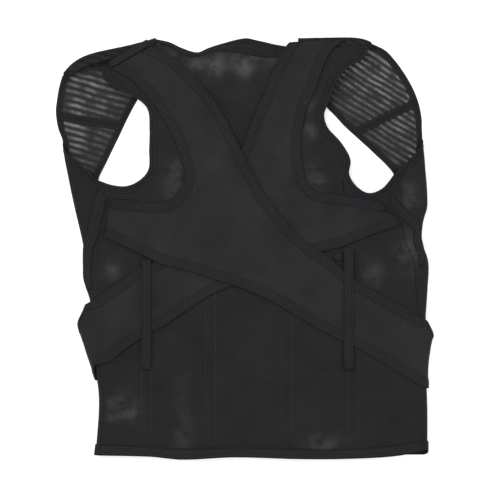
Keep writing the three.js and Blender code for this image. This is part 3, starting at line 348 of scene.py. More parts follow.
def line(rows, value, column=1):
    """A smooth line through table rows: each row's slope is the mean of its neighbours' slopes."""
    table = np.asarray([(row[0], row[column]) for row in rows])
    keys, values = table.T
    last = len(keys) - 1
    ahead = np.minimum(np.arange(last + 1) + 1, last)
    behind = np.maximum(np.arange(last + 1) - 1, 0)
    slopes = (values[ahead] - values[behind]) / (keys[ahead] - keys[behind])
    key = np.clip(value, keys[0], keys[-1])
    at = np.clip(np.searchsorted(keys, key, side="left") - 1, 0, last - 1)
    step = keys[at + 1] - keys[at]
    t = (key - keys[at]) / step
    rise = (2 * t**3 - 3 * t**2 + 1) * values[at] + (3 * t**2 - 2 * t**3) * values[at + 1]
    return rise + step * ((t**3 - 2 * t**2 + t) * slopes[at] + (t**3 - t**2) * slopes[at + 1])


def fold_line(side, y):
    """The outer limit of the folded side at a height up the vest."""
    return HALF_WIDTH * line(LEFT_FOLD if side < 0 else RIGHT_FOLD, y / LENGTH)


def fold_start(side, y):
    """Where the side starts to turn round."""
    return fold_line(side, y) - side * SIDE_FOLD_RADIUS


def strap_bulge(side, y):
    """How far a strap stands out from the side."""
    return SIDE_FOLD_RADIUS * np.maximum(0.0, line(LEFT_BULGE if side < 0 else RIGHT_BULGE, y / LENGTH))


def floor_lift(y):
    """Height of the floor side over the surface: it lies on the strap tails and on the hem band."""
    hem = HEM_LIFT * (1.0 - smooth((y / LENGTH - FRONT_HEM_HIGH) / HEM_LIFT_SHARE))
    return STACK * np.maximum(0.0, line(LIFT_ROWS, y / LENGTH)) + hem


def near_height(x, y):
    """Outer face of the back: two fold radii over the floor side, crowned in the middle, plus soft folds."""
    left = fold_start(-1, y)
    right = fold_start(1, y)
    u = np.clip((2.0 * x - left - right) / (right - left), -1.0, 1.0)
    crown = CROWN * line(CROWN_ROWS, y / LENGTH) * (1.0 - u * u) ** 2
    height = floor_lift(y) + 2.0 * SIDE_FOLD_RADIUS + crown
    for across, up, reach_across, reach_up, fold in FOLDS:
        a = (x / HALF_WIDTH - across) / reach_across
        b = (y / LENGTH - up) / reach_up
        height = height + CROWN * fold * np.exp(-a * a - b * b) * (1.0 - u**4)
    return height


def near_seat(x, y, offset):
    """Points over the back at an offset from its outer face."""
    return np.stack(np.broadcast_arrays(x, y, near_height(x, y) + offset), axis=-1)


def side_seat(side, y, turn, inward, out, offset):
    """Points round a side fold, or on the floor side beyond it."""
    reach = SIDE_FOLD_RADIUS + offset
    x = fold_start(side, y) + side * (out + reach * np.sin(turn) - inward)
    z = floor_lift(y) + SIDE_FOLD_RADIUS + reach * np.cos(turn)
    return np.stack(np.broadcast_arrays(x, y, z), axis=-1)


def travelled(points, axis=0):
    """Distance gone along one axis of a grid of points: the sum of its steps, from zero at the start."""
    steps = np.linalg.norm(np.diff(points, axis=axis), axis=-1)
    return np.concatenate([np.zeros_like(steps.take([0], axis=axis)), steps.cumsum(axis=axis)], axis=axis)


def spaced(points, steps):
    """The same path with evenly spaced points."""
    lengths = travelled(points)
    reach = np.linspace(0.0, lengths[-1], steps + 1)
    return np.stack([np.interp(reach, lengths, points[:, k]) for k in range(points.shape[1])], axis=1)


def smooth_path(rows, steps):
    """A centripetal spline through (across, up) rows, in millimetres, with evenly spaced points."""
    points = np.asarray(rows, dtype=float)[:, :2] * (HALF_WIDTH, LENGTH)
    ends = [2 * points[:1] - points[1:2], points, 2 * points[-1:] - points[-2:-1]]
    p = np.concatenate(ends)
    knots = np.concatenate([[0.0], np.cumsum(np.sqrt(np.linalg.norm(np.diff(p, axis=0), axis=1)))])
    t = np.concatenate([np.linspace(knots[i], knots[i + 1], 24)[:-1] for i in range(1, len(p) - 2)])
    t = np.append(t, knots[-2])
    i = np.clip(np.searchsorted(knots, t, side="right") - 1, 1, len(p) - 3)

    def blend(a, b, first, second):
        share = ((t - knots[first]) / (knots[second] - knots[first]))[:, None]
        return a * (1.0 - share) + b * share

    a1 = blend(p[i - 1], p[i], i - 1, i)
    a2 = blend(p[i], p[i + 1], i, i + 1)
    a3 = blend(p[i + 1], p[i + 2], i + 1, i + 2)
    b1 = blend(a1, a2, i - 1, i + 1)
    b2 = blend(a2, a3, i, i + 2)
    return spaced(blend(b1, b2, i, i + 1), steps)


def inset(path, distance, cut=None):
    """Moves a path to the left of its direction. With a cut line its first point slides along that line."""
    ahead = np.concatenate([path[1:], path[-1:]])
    behind = np.concatenate([path[:1], path[:-1]])
    along = ahead - behind
    along /= np.linalg.norm(along, axis=1)[:, None]
    moved = path + distance * np.stack([-along[:, 1], along[:, 0]], axis=1)
    if cut is not None:
        first = along[0]
        reach = abs(distance / (first[0] * cut[1] - first[1] * cut[0]))
        fade = np.exp(-np.linalg.norm(path - path[0], axis=1) / abs(distance))[:, None]
        moved = moved + fade * (path[0] + np.asarray(cut) * reach - moved[0])
    return moved


def distance_outside(outline, x, y):
    """Distance of places outside a closed outline, zero inside."""
    shape = np.broadcast(x, y).shape
    px = np.broadcast_to(x, shape).ravel()[:, None]
    py = np.broadcast_to(y, shape).ravel()[:, None]
    b = outline
    a = np.roll(outline, 1, axis=0)
    edge = b - a
    length = np.maximum((edge**2).sum(axis=1), 1e-9)
    reach = np.clip(((px - a[:, 0]) * edge[:, 0] + (py - a[:, 1]) * edge[:, 1]) / length, 0.0, 1.0)
    away = np.hypot(a[:, 0] + reach * edge[:, 0] - px, a[:, 1] + reach * edge[:, 1] - py).min(axis=1)
    crosses = (a[:, 1] > py) != (b[:, 1] > py)
    rise = np.where(edge[:, 1] == 0.0, 1.0, edge[:, 1])
    inside = (crosses & (px < edge[:, 0] * (py - a[:, 1]) / rise + a[:, 0])).sum(axis=1) % 2 == 1
    return np.where(inside, 0.0, away).reshape(shape)


def harness_outline(harness):
    """The closed outline of a harness layer on the back."""
    neck, lower, arm = (smooth_path(harness[name], 40) for name in ("neck", "lower", "arm"))
    return np.concatenate([neck, lower[::-1], arm[::-1]])


OUTLINES = {1: harness_outline(UNDER), 2: harness_outline(OVER)}


def level_offset(level, x, y):
    """Height of a layer's lower face over the back: 1 on the cloth, 2 on the under harness, 3 on both."""
    offset = np.full(np.broadcast(x, y).shape, GAP)
    for below in range(1, level):
        away = distance_outside(OUTLINES[below], x, y)
        offset = offset + STACK * (1.0 - smooth((away - COVER_MARGIN) / COVER_FALL))
    return offset


class Frame:
    """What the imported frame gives: where the pattern's zero lies in the row, in metres."""

    shift = np.zeros(3)
    made = {}


def to_row(points):
    """Pattern millimetres to the row frame's metres."""
    return points * 0.001 + Frame.shift


def loop_mesh(name, points, material, uv, ring):
    """A tube from a grid of points: each row closes to a loop, and the ends are capped or joined."""
    rows, columns = points.shape[:2]
    index = np.arange(rows * columns).reshape(rows, columns)
    index = np.concatenate([index, index[:1]], axis=0)
    if ring:
        index = np.concatenate([index, index[:, :1]], axis=1)
    quads = np.stack([index[:-1, :-1], index[:-1, 1:], index[1:, 1:], index[1:, :-1]], axis=-1)
    caps = [] if ring else [index[:-1, 0][::-1], index[:-1, -1]]
    return make_mesh(name, points.reshape(-1, 3), quads.reshape(-1, 4), caps, material, uv.reshape(-1, 2))


def make_mesh(name, points, quads, caps, material, uv, openness_and_painted_light=None):
    """A Blender object from points and a map in millimetres, quads and end faces, with an attribute for how
    open the knit is, which also sets its painted light.

    The signed volume, a sum over the faces of their corners' triple products, tells if they point outwards.
    """
    corners = [tuple(quad) for quad in quads.tolist()] + [tuple(cap.tolist()) for cap in caps]
    mesh = bpy.data.meshes.new(f"{name}_cloth")
    a, b, c, d = (points[quads[:, k]] for k in range(4))
    volume = (np.cross(b - a, c - a) * a).sum() + (np.cross(c - a, d - a) * a).sum()
    if volume < 0.0:
        corners = [corner[::-1] for corner in corners]
    mesh.from_pydata(to_row(points).tolist(), [], corners)
    mesh.shade_smooth()
    layer = mesh.uv_layers.new(name="cloth_map")
    loops = np.zeros(len(mesh.loops), dtype=np.int32)
    mesh.loops.foreach_get("vertex_index", loops)
    layer.data.foreach_set("uv", (uv[loops] * 0.001).ravel())
    thin = mesh.attributes.new("thinness", "FLOAT", "POINT")
    openness_and_painted_light = np.zeros(len(points)) if openness_and_painted_light is None else np.clip(openness_and_painted_light, 0.0, 1.0)
    thin.data.foreach_set("value", openness_and_painted_light.ravel())
    mesh.materials.append(material)
    obj = bpy.data.objects.new(mesh.name, mesh)
    bpy.context.collection.objects.link(obj)
    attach(obj, "root")
    return obj


def profile(steps, power=4.0, least=0.12):
    """Half thickness across a tape, from 1 in the middle to a thin rounded edge."""
    s = np.linspace(-1.0, 1.0, steps + 1)
    s = np.sin(s * np.pi / 2.0)
    return s, np.maximum(least, (1.0 - np.abs(s) ** power) ** 0.5)


def wrap_sheet(name, place, rows, columns, thickness, base, material, power=14.0, ring=False):
    """A closed cloth piece: place(row shares, column shares, offset) gives its points.

    Its cross section is one loop: the upper face from edge to edge and the lower face back again, each half
    the profile's thickness from the middle. The two ends are closed, or joined to each other in a ring.
    """
    s, half = profile(columns, power)
    share = (s + 1.0) / 2.0
    loop_share = np.concatenate([share, share[-2:0:-1]])
    side = np.concatenate([half, -half[-2:0:-1]])
    r = np.linspace(0.0, 1.0, rows + 1)
    if ring:
        r = r[:-1]
    a, b = np.meshgrid(loop_share, r, indexing="ij")
    lift = base + thickness * (0.5 + 0.5 * side[:, None]) + 0.0 * a
    points = place(b, a, lift)
    middle = place(b, a, np.full_like(a, base + thickness / 2.0))
    width = np.linalg.norm(middle[columns] - middle[0], axis=-1)
    uv = np.stack([a * width[None, :], travelled(middle, 1)], axis=-1)
    return loop_mesh(name, points, material, uv, ring)


def thinness(points):
    """How open the knit is, from the table of thin places and the pale label behind it; the same share sets
    the painted light that shows through.
    """
    x = points[..., 0] / HALF_WIDTH
    y = points[..., 1] / LENGTH
    total = np.zeros(x.shape)
    for across, up, reach_across, reach_up, strength in OPEN_AND_PAINTED_LIGHT_SPOTS:
        total = total + strength * np.exp(-(((x - across) / reach_across) ** 2) - ((y - up) / reach_up) ** 2)
    aside = LABEL_WIDTH / 2.0 - np.abs(x - LABEL_ACROSS) * HALF_WIDTH
    above = LABEL_LENGTH / 2.0 - np.abs(y - LABEL_UP) * LENGTH
    return total + LABEL_SHOW * smooth(aside / 1.5) * smooth(above / 1.5)


def between(first, second, level):
    """A layer piece over the back between two paths of places."""

    def place(along, across, lift):
        rows = np.linspace(0.0, 1.0, len(first))
        x = mix(np.interp(along, rows, first[:, 0]), np.interp(along, rows, second[:, 0]), across)
        y = mix(np.interp(along, rows, first[:, 1]), np.interp(along, rows, second[:, 1]), across)
        return near_seat(x, y, level_offset(level, x, y) + lift)

    return place


def round_side(from_y, to_y, steps):
    """An edge that turns round the side and runs back below to the placket: (y, turn, inward) rows.

    The turn grows evenly to half a circle while y eases to its end, and then the edge runs straight inward.
    """
    share = np.linspace(0.0, 1.0, steps + 1)[1:]
    y = np.concatenate([mix(from_y, to_y, smooth(2.0 * share)), np.full(steps, to_y)])
    turn = np.concatenate([np.pi * share, np.full(steps, np.pi)])
    inward = np.concatenate([np.zeros(steps), HALF_WIDTH * TAIL_SHARE * share])
    return np.stack([y, turn, inward], axis=1)


def wrapped(first, second, rounds, side, level):
    """A harness layer: over the back between two paths, then round the side and under the front.

    The length is shared out between the path, half a circle of the fold radius and the tail below.
    Just past the path's end the two parts are blended, so that the layer keeps one smooth surface.
    """
    near = between(first, second, level)
    length = np.linalg.norm(np.diff(first, axis=0), axis=1).sum()
    arc = np.pi * SIDE_FOLD_RADIUS
    tail = HALF_WIDTH * TAIL_SHARE
    ends = np.array([length, length + arc, length + arc + tail]) / (length + arc + tail)
    keys = np.linspace(0.0, 1.0, len(rounds[0]) + 1)

    def place(along, across, lift):
        points = near(np.clip(along / ends[0], 0.0, 1.0), across, lift)
        on_arc = 0.5 * (along - ends[0]) / (ends[1] - ends[0])
        on_tail = 0.5 + 0.5 * (along - ends[1]) / (ends[2] - ends[1])
        share = np.clip(np.where(along < ends[1], on_arc, on_tail), 0.0, 1.0)
        start = (first[-1][1], second[-1][1])
        rows = [np.vstack([(start[k], 0.0, 0.0), rounds[k]]) for k in (0, 1)]
        y, turn, inward = (
            mix(np.interp(share, keys, rows[0][:, k]), np.interp(share, keys, rows[1][:, k]), across)
            for k in range(3)
        )
        ease = smooth(share * 12.0)
        over = side_seat(side, y, turn, inward, strap_bulge(side, y), GAP + lift)
        reach = fold_start(side, y) + side * strap_bulge(side, y)
        bridge = near_seat(mix(points[..., 0], reach, ease), y, level_offset(level, points[..., 0], y) + lift)
        for axis in (0, 2):
            bridge[..., axis] = mix(bridge[..., axis], over[..., axis], ease)
        beyond = np.where((share < BRIDGE_SHARE)[..., None], bridge, over)
        return np.where((along <= ends[0])[..., None], points, beyond)

    return place


def harness_paths(harness):
    """The edges of a harness layer, the same edges moved in to the cloth and to the tapes, and its seam."""
    side = harness["side"]
    neck, arm, lower = (smooth_path(harness[key], PATH_STEPS) for key in ("neck", "arm", "lower"))
    end = (arm[0] - neck[0]) / np.linalg.norm(arm[0] - neck[0])
    paths = {"neck": neck, "arm": arm, "lower": lower}
    for kind, width in (("cloth", BINDING_WIDTH - UNDER_TAPE), ("tape", BINDING_WIDTH)):
        paths[f"neck_{kind}"] = inset(neck, -side * width, end)
        paths[f"arm_{kind}"] = inset(arm, side * width, -end)
        paths[f"lower_{kind}"] = inset(lower, side * width)
    corner = int(harness["arm_share"] * PATH_STEPS)
    low_corner = int(harness["lower_share"] * PATH_STEPS)
    seam = np.asarray(harness["seam"]) * (HALF_WIDTH, LENGTH)
    ends = (paths["arm_cloth"][corner][None], paths["lower_cloth"][low_corner][None])
    paths["seam"] = spaced(np.concatenate([ends[0], seam, ends[1]]), SEAM_STEPS)
    paths["strap_arm"] = np.concatenate(
        [paths["arm_cloth"][:corner], paths["seam"], paths["lower_cloth"][low_corner + 1:]])
    paths["wing_top"] = np.concatenate([paths["arm_cloth"][corner:][::-1], paths["seam"][1:]])
    paths["wing_low"] = paths["lower_cloth"][:low_corner]
    return paths


def build_harness(names, harness):
    """One harness layer: the strap, the underarm wing and the three edge tapes."""
    side = harness["side"]
    level = harness["level"]
    p = harness_paths(harness)
    strap, wing, neck_binding, lower_binding, arm_binding = names
    high = harness["front_high"] * LENGTH
    low = harness["front_low"] * LENGTH
    steps = 200
    cloth = material("strap_cloth")
    tape = material("tape_cloth")
    edge = BINDING_WIDTH - UNDER_TAPE
    rounds = [
        round_side(p["neck_cloth"][-1][1], high - edge, 24),
        round_side(p["lower_cloth"][-1][1], low + edge, 24),
    ]
    place = wrapped(spaced(p["neck_cloth"], steps), spaced(p["strap_arm"], steps), rounds, side, level)
    declare(wrap_sheet(strap, place, steps, 30, STRAP_THICKNESS, 0.0, cloth, 30.0), strap)
    place = between(spaced(p["wing_top"], steps // 2), spaced(p["wing_low"], steps // 2), level)
    declare(wrap_sheet(wing, place, 80, 30, STRAP_THICKNESS, 0.0, cloth, 30.0), wing)
    for name, kind, far, turn in ((neck_binding, "neck", high, -1.0), (lower_binding, "lower", low, 1.0)):
        rounds = [
            round_side(p[kind][-1][1], far, 24),
            round_side(p[f"{kind}_tape"][-1][1], far + turn * BINDING_WIDTH, 24),
        ]
        place = wrapped(p[kind], p[f"{kind}_tape"], rounds, side, level)
        declare(wrap_sheet(name, place, 2 * steps, 8, BINDING_THICKNESS, 0.0, tape), name)
        stitch(f"{name}_stitches", place, (0.17, 0.83), BINDING_THICKNESS, True)
    place = between(p["arm"], p["arm_tape"], level)
    declare(wrap_sheet(arm_binding, place, 160, 8, BINDING_THICKNESS, 0.0, tape), arm_binding)
    stitch(f"{arm_binding}_stitches", place, (0.17, 0.83), BINDING_THICKNESS, True)
    seam = between(inset(p["seam"], 1.2), inset(p["seam"], -1.2), level)
    stitch(f"{wing}_seam_stitches", seam, (0.0, 1.0), STRAP_THICKNESS)


def stitch_ends(place, shares, height, cross):
    """Both ends of each stitch: (share of its line, share of its end's line, begin and end in pitches)."""
    fine = np.linspace(0.004, 0.996, 1400)
    pairs = [(share, share, 0.0, STITCH_FILL) for share in shares]
    if cross:
        low, high = min(shares), max(shares)
        pairs.append((mix(low, high, 0.18), mix(low, high, 0.46), 0.1, 0.75))
        pairs.append((mix(low, high, 0.82), mix(low, high, 0.54), 0.6, 1.25))
    points = []
    for start_share, end_share, begin, finish in pairs:
        lifts = np.full_like(fine, height)
        tracks = [place(fine, np.full_like(fine, share), lifts) for share in (start_share, end_share)]
        length = travelled(tracks[0])
        count = max(3, int(length[-1] / (settings().stitch_pitch * 1000.0)))
        step = length[-1] / count
        for share, track in zip((begin, finish), tracks):
            at = (np.arange(count - 1) + share) * step
            points.append(np.stack([np.interp(at, length, track[:, k]) for k in range(3)], axis=1))
    return np.stack([np.concatenate(points[0::2]), np.concatenate(points[1::2])], axis=1)


def stitch(name, place, shares, height, cross=False):
    """Lines of short stitches along a piece: each stitch is a small six-sided spindle on its face.

    Along a line of the piece, one stitch begins at every whole pitch. A coverstitch also has looper
    threads, short slanted stitches that run from near one line towards the other. A spindle is four
    rings of six points round the stitch, narrow at its ends.
    """
    ends = stitch_ends(place, shares, height, cross)
    along = ends[:, 1] - ends[:, 0]
    along /= np.maximum(np.linalg.norm(along, axis=1), 1e-6)[:, None]
    aside = np.cross(along, (0.0, 0.0, 1.0)) + (1e-4, 0.0, 0.0)
    aside /= np.linalg.norm(aside, axis=1)[:, None]
    upward = np.cross(aside, along)
    angles = np.arange(6) * np.pi / 3.0
    ring = aside[:, None] * np.cos(angles)[None, :, None] + upward[:, None] * np.sin(angles)[None, :, None]
    thread = settings().thread_thickness * 500.0
    slices = []
    for share, radius in ((0.0, 0.25), (0.2, 0.9), (0.8, 0.9), (1.0, 0.25)):
        centre = mix(ends[:, 0], ends[:, 1], share)[:, None]
        slices.append(centre + ring * radius * thread)
    body = np.stack(slices, axis=1)
    count = len(body)
    index = np.arange(count * 24).reshape(count, 4, 6)
    wrap = np.concatenate([index, index[:, :, :1]], axis=2)
    quads = np.stack([wrap[:, :-1, :-1], wrap[:, :-1, 1:], wrap[:, 1:, 1:], wrap[:, 1:, :-1]], axis=-1)
    caps = list(np.concatenate([index[:, 0, ::-1], index[:, 3, :]]))
    flat = body.reshape(-1, 3)
    make_mesh(name, flat, quads.reshape(-1, 4), caps, material("thread"), flat[:, :2])


def declare(obj, node):
    """A piece stands for its CAD node: the node's solid is hidden and the piece is kept under its name."""
    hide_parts(node)
    Frame.made[node] = obj


def panel(name, place, rows, columns, base, finish, held=None, openness_and_painted_light=None):
    """A closed sheet over a grid, open where held is false: two faces, and a wall round every free edge.

    place(offset) gives the grid at an offset, and the faces lie at the base and a wall's thickness over it.
    """
    held = np.ones((rows, columns), dtype=bool) if held is None else held
    faces = [place(base + face * WALL) for face in (0, 1)]
    index = np.arange((rows + 1) * (columns + 1)).reshape(rows + 1, columns + 1)
    low = [index[:-1, :-1], index[:-1, 1:], index[1:, 1:], index[1:, :-1]]
    high = [corner + index.size for corner in low]
    quads = [np.stack(high, axis=-1)[held], np.stack(low[::-1], axis=-1)[held]]
    padded = np.pad(held, 1)
    beside = (padded[:-2, 1:-1], padded[1:-1, 2:], padded[2:, 1:-1], padded[1:-1, :-2])
    for k, near in enumerate(beside):
        free = held & ~near
        j = (k + 1) % 4
        quads.append(np.stack([high[k], low[k], low[j], high[j]], axis=-1)[free])
    quads = np.concatenate(quads)
    used, quads = np.unique(quads, return_inverse=True)
    points = np.concatenate([face.reshape(-1, 3) for face in faces])
    middle = place(base)
    place_map = np.stack([travelled(middle, 1), travelled(middle, 0)], axis=-1).reshape(-1, 2)
    uv = np.tile(place_map, (2, 1))[used]
    openness_and_painted_light = np.tile((thinness(middle) if openness_and_painted_light is None else openness_and_painted_light).ravel(), 2)[used]
    declare(make_mesh(name, points[used], quads.reshape(-1, 4), [], material(finish), uv, openness_and_painted_light), name)


def body_edge(side, y):
    """The side seam of the back panel."""
    return fold_start(side, y) - side * HALF_WIDTH * line(SIDE_SEAM, y / LENGTH)


def side_data(name, fine):
    """The armhole of one side: its edge, the tape's inner edge and the cloth edge cut at the side seam."""
    side, rows, top = SIDES[name]
    edge = smooth_path(rows, 16 * fine)
    cloth = inset(edge, -side * (ARMHOLE_BINDING_WIDTH - 0.6))
    corner, beside = cloth[-1], cloth[-2]
    reach = (body_edge(side, corner[1]) - beside[0]) / (corner[0] - beside[0])
    cloth[-1] = mix(beside, corner, min(float(reach), 1.0))
    return {
        "side": side, "edge": edge, "inner": inset(edge, -side * ARMHOLE_BINDING_WIDTH),
        "upper": cloth[:11 * fine + 1], "shelf": cloth[11 * fine:], "side_top": top,
    }


def build_back(fine):
    """The back panel: from the hem to the neck, with both armholes left open.

    Below the armholes its rows run from one side seam to the other, and above them from armhole to armhole.
    """
    left, right = (side_data(name, fine) for name in SIDES)
    side_columns, middle, low, high = 5 * fine, 10 * fine, 12 * fine, 11 * fine
    columns = middle + 2 * side_columns
    across = np.linspace(0.0, 1.0, middle + 1)[:, None]
    centre = mix(left["upper"][-1], right["upper"][-1], across)
    shelf = np.concatenate([left["shelf"][1:][::-1], centre, right["shelf"][1:]])
    r = np.linspace(0.0, 1.0, low + 1)[:, None]
    start, width = body_edge(-1, shelf[:, 1]), body_edge(1, shelf[:, 1]) - body_edge(-1, shelf[:, 1])
    share = mix(np.linspace(0.0, 1.0, columns + 1), np.clip((shelf[:, 0] - start) / width, 0.0, 1.0), r)
    zero = np.array(0.0)
    bottom_x = mix(body_edge(-1, zero), body_edge(1, zero), share)
    y = mix((line(HEM, bottom_x / HALF_WIDTH) + HEM_INSET) * LENGTH, shelf[:, 1], r)
    x = mix(body_edge(-1, y), body_edge(1, y), share)
    s = np.clip((np.arange(columns + 1) - side_columns) / middle, 0.0, 1.0)[None, :, None]
    upper = mix(left["upper"][::-1][1:, None], right["upper"][::-1][1:, None], s)
    top = upper[-1]
    between_sides = (s[0, :, 0] > 0.0) & (s[0, :, 0] < 1.0)
    rise = np.where(between_sides, line(TOP_EDGE, top[:, 0] / HALF_WIDTH) * LENGTH - top[:, 1], 0.0)
    upper[..., 1] += rise * (np.linspace(0.0, 1.0, high + 1)[1:, None]) ** 2
    x = np.concatenate([x, upper[..., 0]])
    y = np.concatenate([y, upper[..., 1]])
    held = np.ones((low + high, columns), dtype=bool)
    held[low:, :side_columns] = False
    held[low:, columns - side_columns:] = False
    panel("back_panel", lambda lift: near_seat(x, y, lift), low + high, columns, -WALL, "mesh_cloth", held)


def side_top(body, column):
    """Height of the armhole edge round the side.

    It rises by its near share up to where the fold begins, and by the rest up to the fold's outermost column.
    From there it drops evenly to the seam with the front.
    """
    drop = FAR_TOP_DROP * np.maximum(column - FOLD_OUTERMOST, 0.0) / (SEAM_COLUMN - FOLD_OUTERMOST)
    after = smooth((column - FOLD_BEGINS) / (FOLD_OUTERMOST - FOLD_BEGINS))
    rise = NEAR_RISE * np.clip(column, 0.0, FOLD_BEGINS) + (1.0 - NEAR_RISE) * after
    return mix(body["edge"][-1][1], (body["side_top"] - drop) * LENGTH, rise)


def side_place(body, column, y, lift):
    """Points of the side cloth: from the back's side seam round the fold to the front's seam."""
    side = body["side"]
    x = mix(body_edge(side, y), fold_start(side, y), column)
    near = near_seat(x, y, lift)
    turn = np.pi * np.clip((column - FOLD_BEGINS) / (FOLD_ENDS - FOLD_BEGINS), 0.0, 1.0)
    inward = np.clip((column - FOLD_ENDS) / (SEAM_COLUMN - FOLD_ENDS), 0.0, 1.0) * FAR_SEAM * HALF_WIDTH
    return np.where((column < FOLD_BEGINS)[..., None], near, side_seat(side, y, turn, inward, 0.0, lift))


def side_height(body, column, share):
    """Rows of the side cloth, from the hem to just under the armhole tape."""
    first = side_top(body, np.array(FOLD_BEGINS)) - ARMHOLE_BINDING_WIDTH
    before = mix(body["shelf"][-1][1], first, column)
    top = np.where(column < FOLD_BEGINS, before, side_top(body, column) - ARMHOLE_BINDING_WIDTH)
    edge = body_edge(body["side"], np.array(0.0))
    return mix((line(HEM, edge / HALF_WIDTH) + HEM_INSET) * LENGTH, top, share)


def side_and_front_panel(name, body, fine):
    """One side panel, and the front panel from its seam to the placket."""
    side = body["side"]
    rows, columns = 12 * fine, 8 * fine
    r = np.linspace(0.0, 1.0, rows + 1)[:, None]
    c = np.linspace(0.0, SEAM_COLUMN, 9 * fine + 1)[None, :] + 0.0 * r
    y = side_height(body, c, r)
    panel(f"{name}_side_panel", lambda lift: side_place(body, c, y, lift),
          rows, 9 * fine, -WALL, "mesh_cloth")
    aside = np.linspace(0.0, 1.0, columns + 1)[None, :]
    bottom = (FRONT_HEM_LOW + HEM_INSET) * LENGTH
    seam_y = side_height(body, np.array(SEAM_COLUMN), r)
    front_y = mix(mix(bottom, line(FRONT_TOP, aside) * LENGTH, r), seam_y, aside**4)
    reach = np.abs(fold_start(side, front_y)) - PLACKET_WIDTH / 2.0
    inward = mix(reach, FAR_SEAM * HALF_WIDTH, aside)
    panel(f"{name}_front_panel", lambda lift: side_seat(side, front_y, np.pi, inward, 0.0, lift),
          rows, columns, -WALL, "mesh_cloth")


def build_armhole_tape(name, body, fine):
    """The tape round an armhole: along the back's edge for three quarters, then round the side's fold."""
    edge, inner = body["edge"], body["inner"]
    split = 0.75
    keys = np.linspace(0.0, 1.0, len(edge))

    def place(along, across, lift):
        """On the back, then a bridge up to where the fold begins, then the side's own place."""
        t = np.clip(along / split, 0.0, 1.0)
        x, y = (mix(np.interp(t, keys, edge[:, k]), np.interp(t, keys, inner[:, k]), across) for k in (0, 1))
        near = near_seat(x, y, lift)
        column = np.clip((along - split) / (1.0 - split), 0.0, 1.0) * FOLD_ENDS
        top = side_top(body, column) - ARMHOLE_BINDING_WIDTH * across
        first = side_top(body, np.array(FOLD_BEGINS)) - ARMHOLE_BINDING_WIDTH * across
        start = mix(edge[-1], inner[-1], across[..., None])
        before = column < FOLD_BEGINS
        y_side = np.where(before, mix(start[..., 1], first, column), top)
        join = side_place(body, np.full_like(column, FOLD_BEGINS), y_side, lift)[..., 0]
        bridge = near_seat(mix(start[..., 0], join, column), y_side, lift)
        round_part = side_place(body, np.maximum(column, FOLD_BEGINS), y_side, lift)
        return np.where((along <= split)[..., None], near, np.where(before[..., None], bridge, round_part))

    tape = material("tape_cloth")
    declare(wrap_sheet(f"{name}_armhole_binding", place, 60 * fine, 8, WALL + 0.3, -WALL, tape),
            f"{name}_armhole_binding")
    stitch(f"{name}_armhole_stitches", place, (0.2, 0.8), 0.3)


def build_sides(fine):
    """Side panels, front panels and the armhole tapes."""
    for name in SIDES:
        body = side_data(name, fine)
        side_and_front_panel(name, body, fine)
        build_armhole_tape(name, body, fine)


def build_placket():
    """The plain placket in the middle of the front, flat on the floor."""
    bottom = (FRONT_HEM_LOW + HEM_INSET) * LENGTH
    top = float(line(FRONT_TOP, np.array(0.0))) * LENGTH

    def placket(along, across, lift):
        y = mix(bottom, top, along)
        return np.stack([(across - 0.5) * PLACKET_WIDTH, y, floor_lift(y) + lift], axis=-1)

    piece = wrap_sheet("front_placket", placket, 60, 10, PLACKET_THICKNESS, 0.0, material("tape_cloth"))
    declare(piece, "front_placket")
    stitch("front_placket_stitches", placket, (0.1, 0.5, 0.9), PLACKET_THICKNESS)


def build_hem(fine):
    """The hem band: a closed ring over the back, round both side folds and under the front."""
    zero = np.array(0.0)
    limits = [float(fold_start(side, zero)) for side in (-1, 1)]
    arc = np.pi * SIDE_FOLD_RADIUS
    span = limits[1] - limits[0]
    total = 2.0 * (span + arc)

    def hem(along, across, lift):
        """A point of the ring: over the back first, then the right fold, the front and the left fold."""
        d = (along % 1.0) * total
        x = np.clip(limits[0] + d, limits[0], limits[1])
        share = x / HALF_WIDTH
        near_low, near_high = line(HEM, share), line(HEM, share, 2)
        y = mix(near_low, near_high, across) * LENGTH
        points = near_seat(x, y, lift)
        far_y = mix(FRONT_HEM_LOW, FRONT_HEM_HIGH, across) * LENGTH
        for side, begin in ((1, span), (-1, 2.0 * span + arc)):
            turn = np.clip((d - begin) / arc, 0.0, 1.0)
            turn = turn if side > 0 else 1.0 - turn
            at = fold_line(side, zero) / HALF_WIDTH
            rim = mix(line(HEM, at), line(HEM, at, 2), across) * LENGTH
            y_side = mix(rim, far_y, smooth(turn))
            round_part = side_seat(side, y_side, np.pi * turn, 0.0, 0.0, lift)
            here = (d > begin) & (d < begin + arc)
            points = np.where(here[..., None], round_part, points)
        x_far = np.clip(limits[1] - (d - span - arc), limits[0], limits[1])
        side = np.where(x_far > 0.0, 1, -1)
        edge = np.where(side > 0, fold_start(1, far_y), fold_start(-1, far_y))
        z = floor_lift(far_y) - lift
        below = np.stack(np.broadcast_arrays(x_far + 0.0 * edge, far_y, z), axis=-1)
        here = (d >= span + arc) & (d <= 2.0 * span + arc)
        return np.where(here[..., None], below, points)

    def over_back(along, across, lift):
        return hem(along * (span / total), across, lift + base)

    base = 1.5 * GAP
    tape = material("tape_cloth")
    declare(wrap_sheet("hem_band", hem, 110 * fine, 6, HEM_BAND_THICKNESS, base, tape, ring=True), "hem_band")
    stitch("hem_band_stitches", over_back, (0.2, 0.8), HEM_BAND_THICKNESS, True)


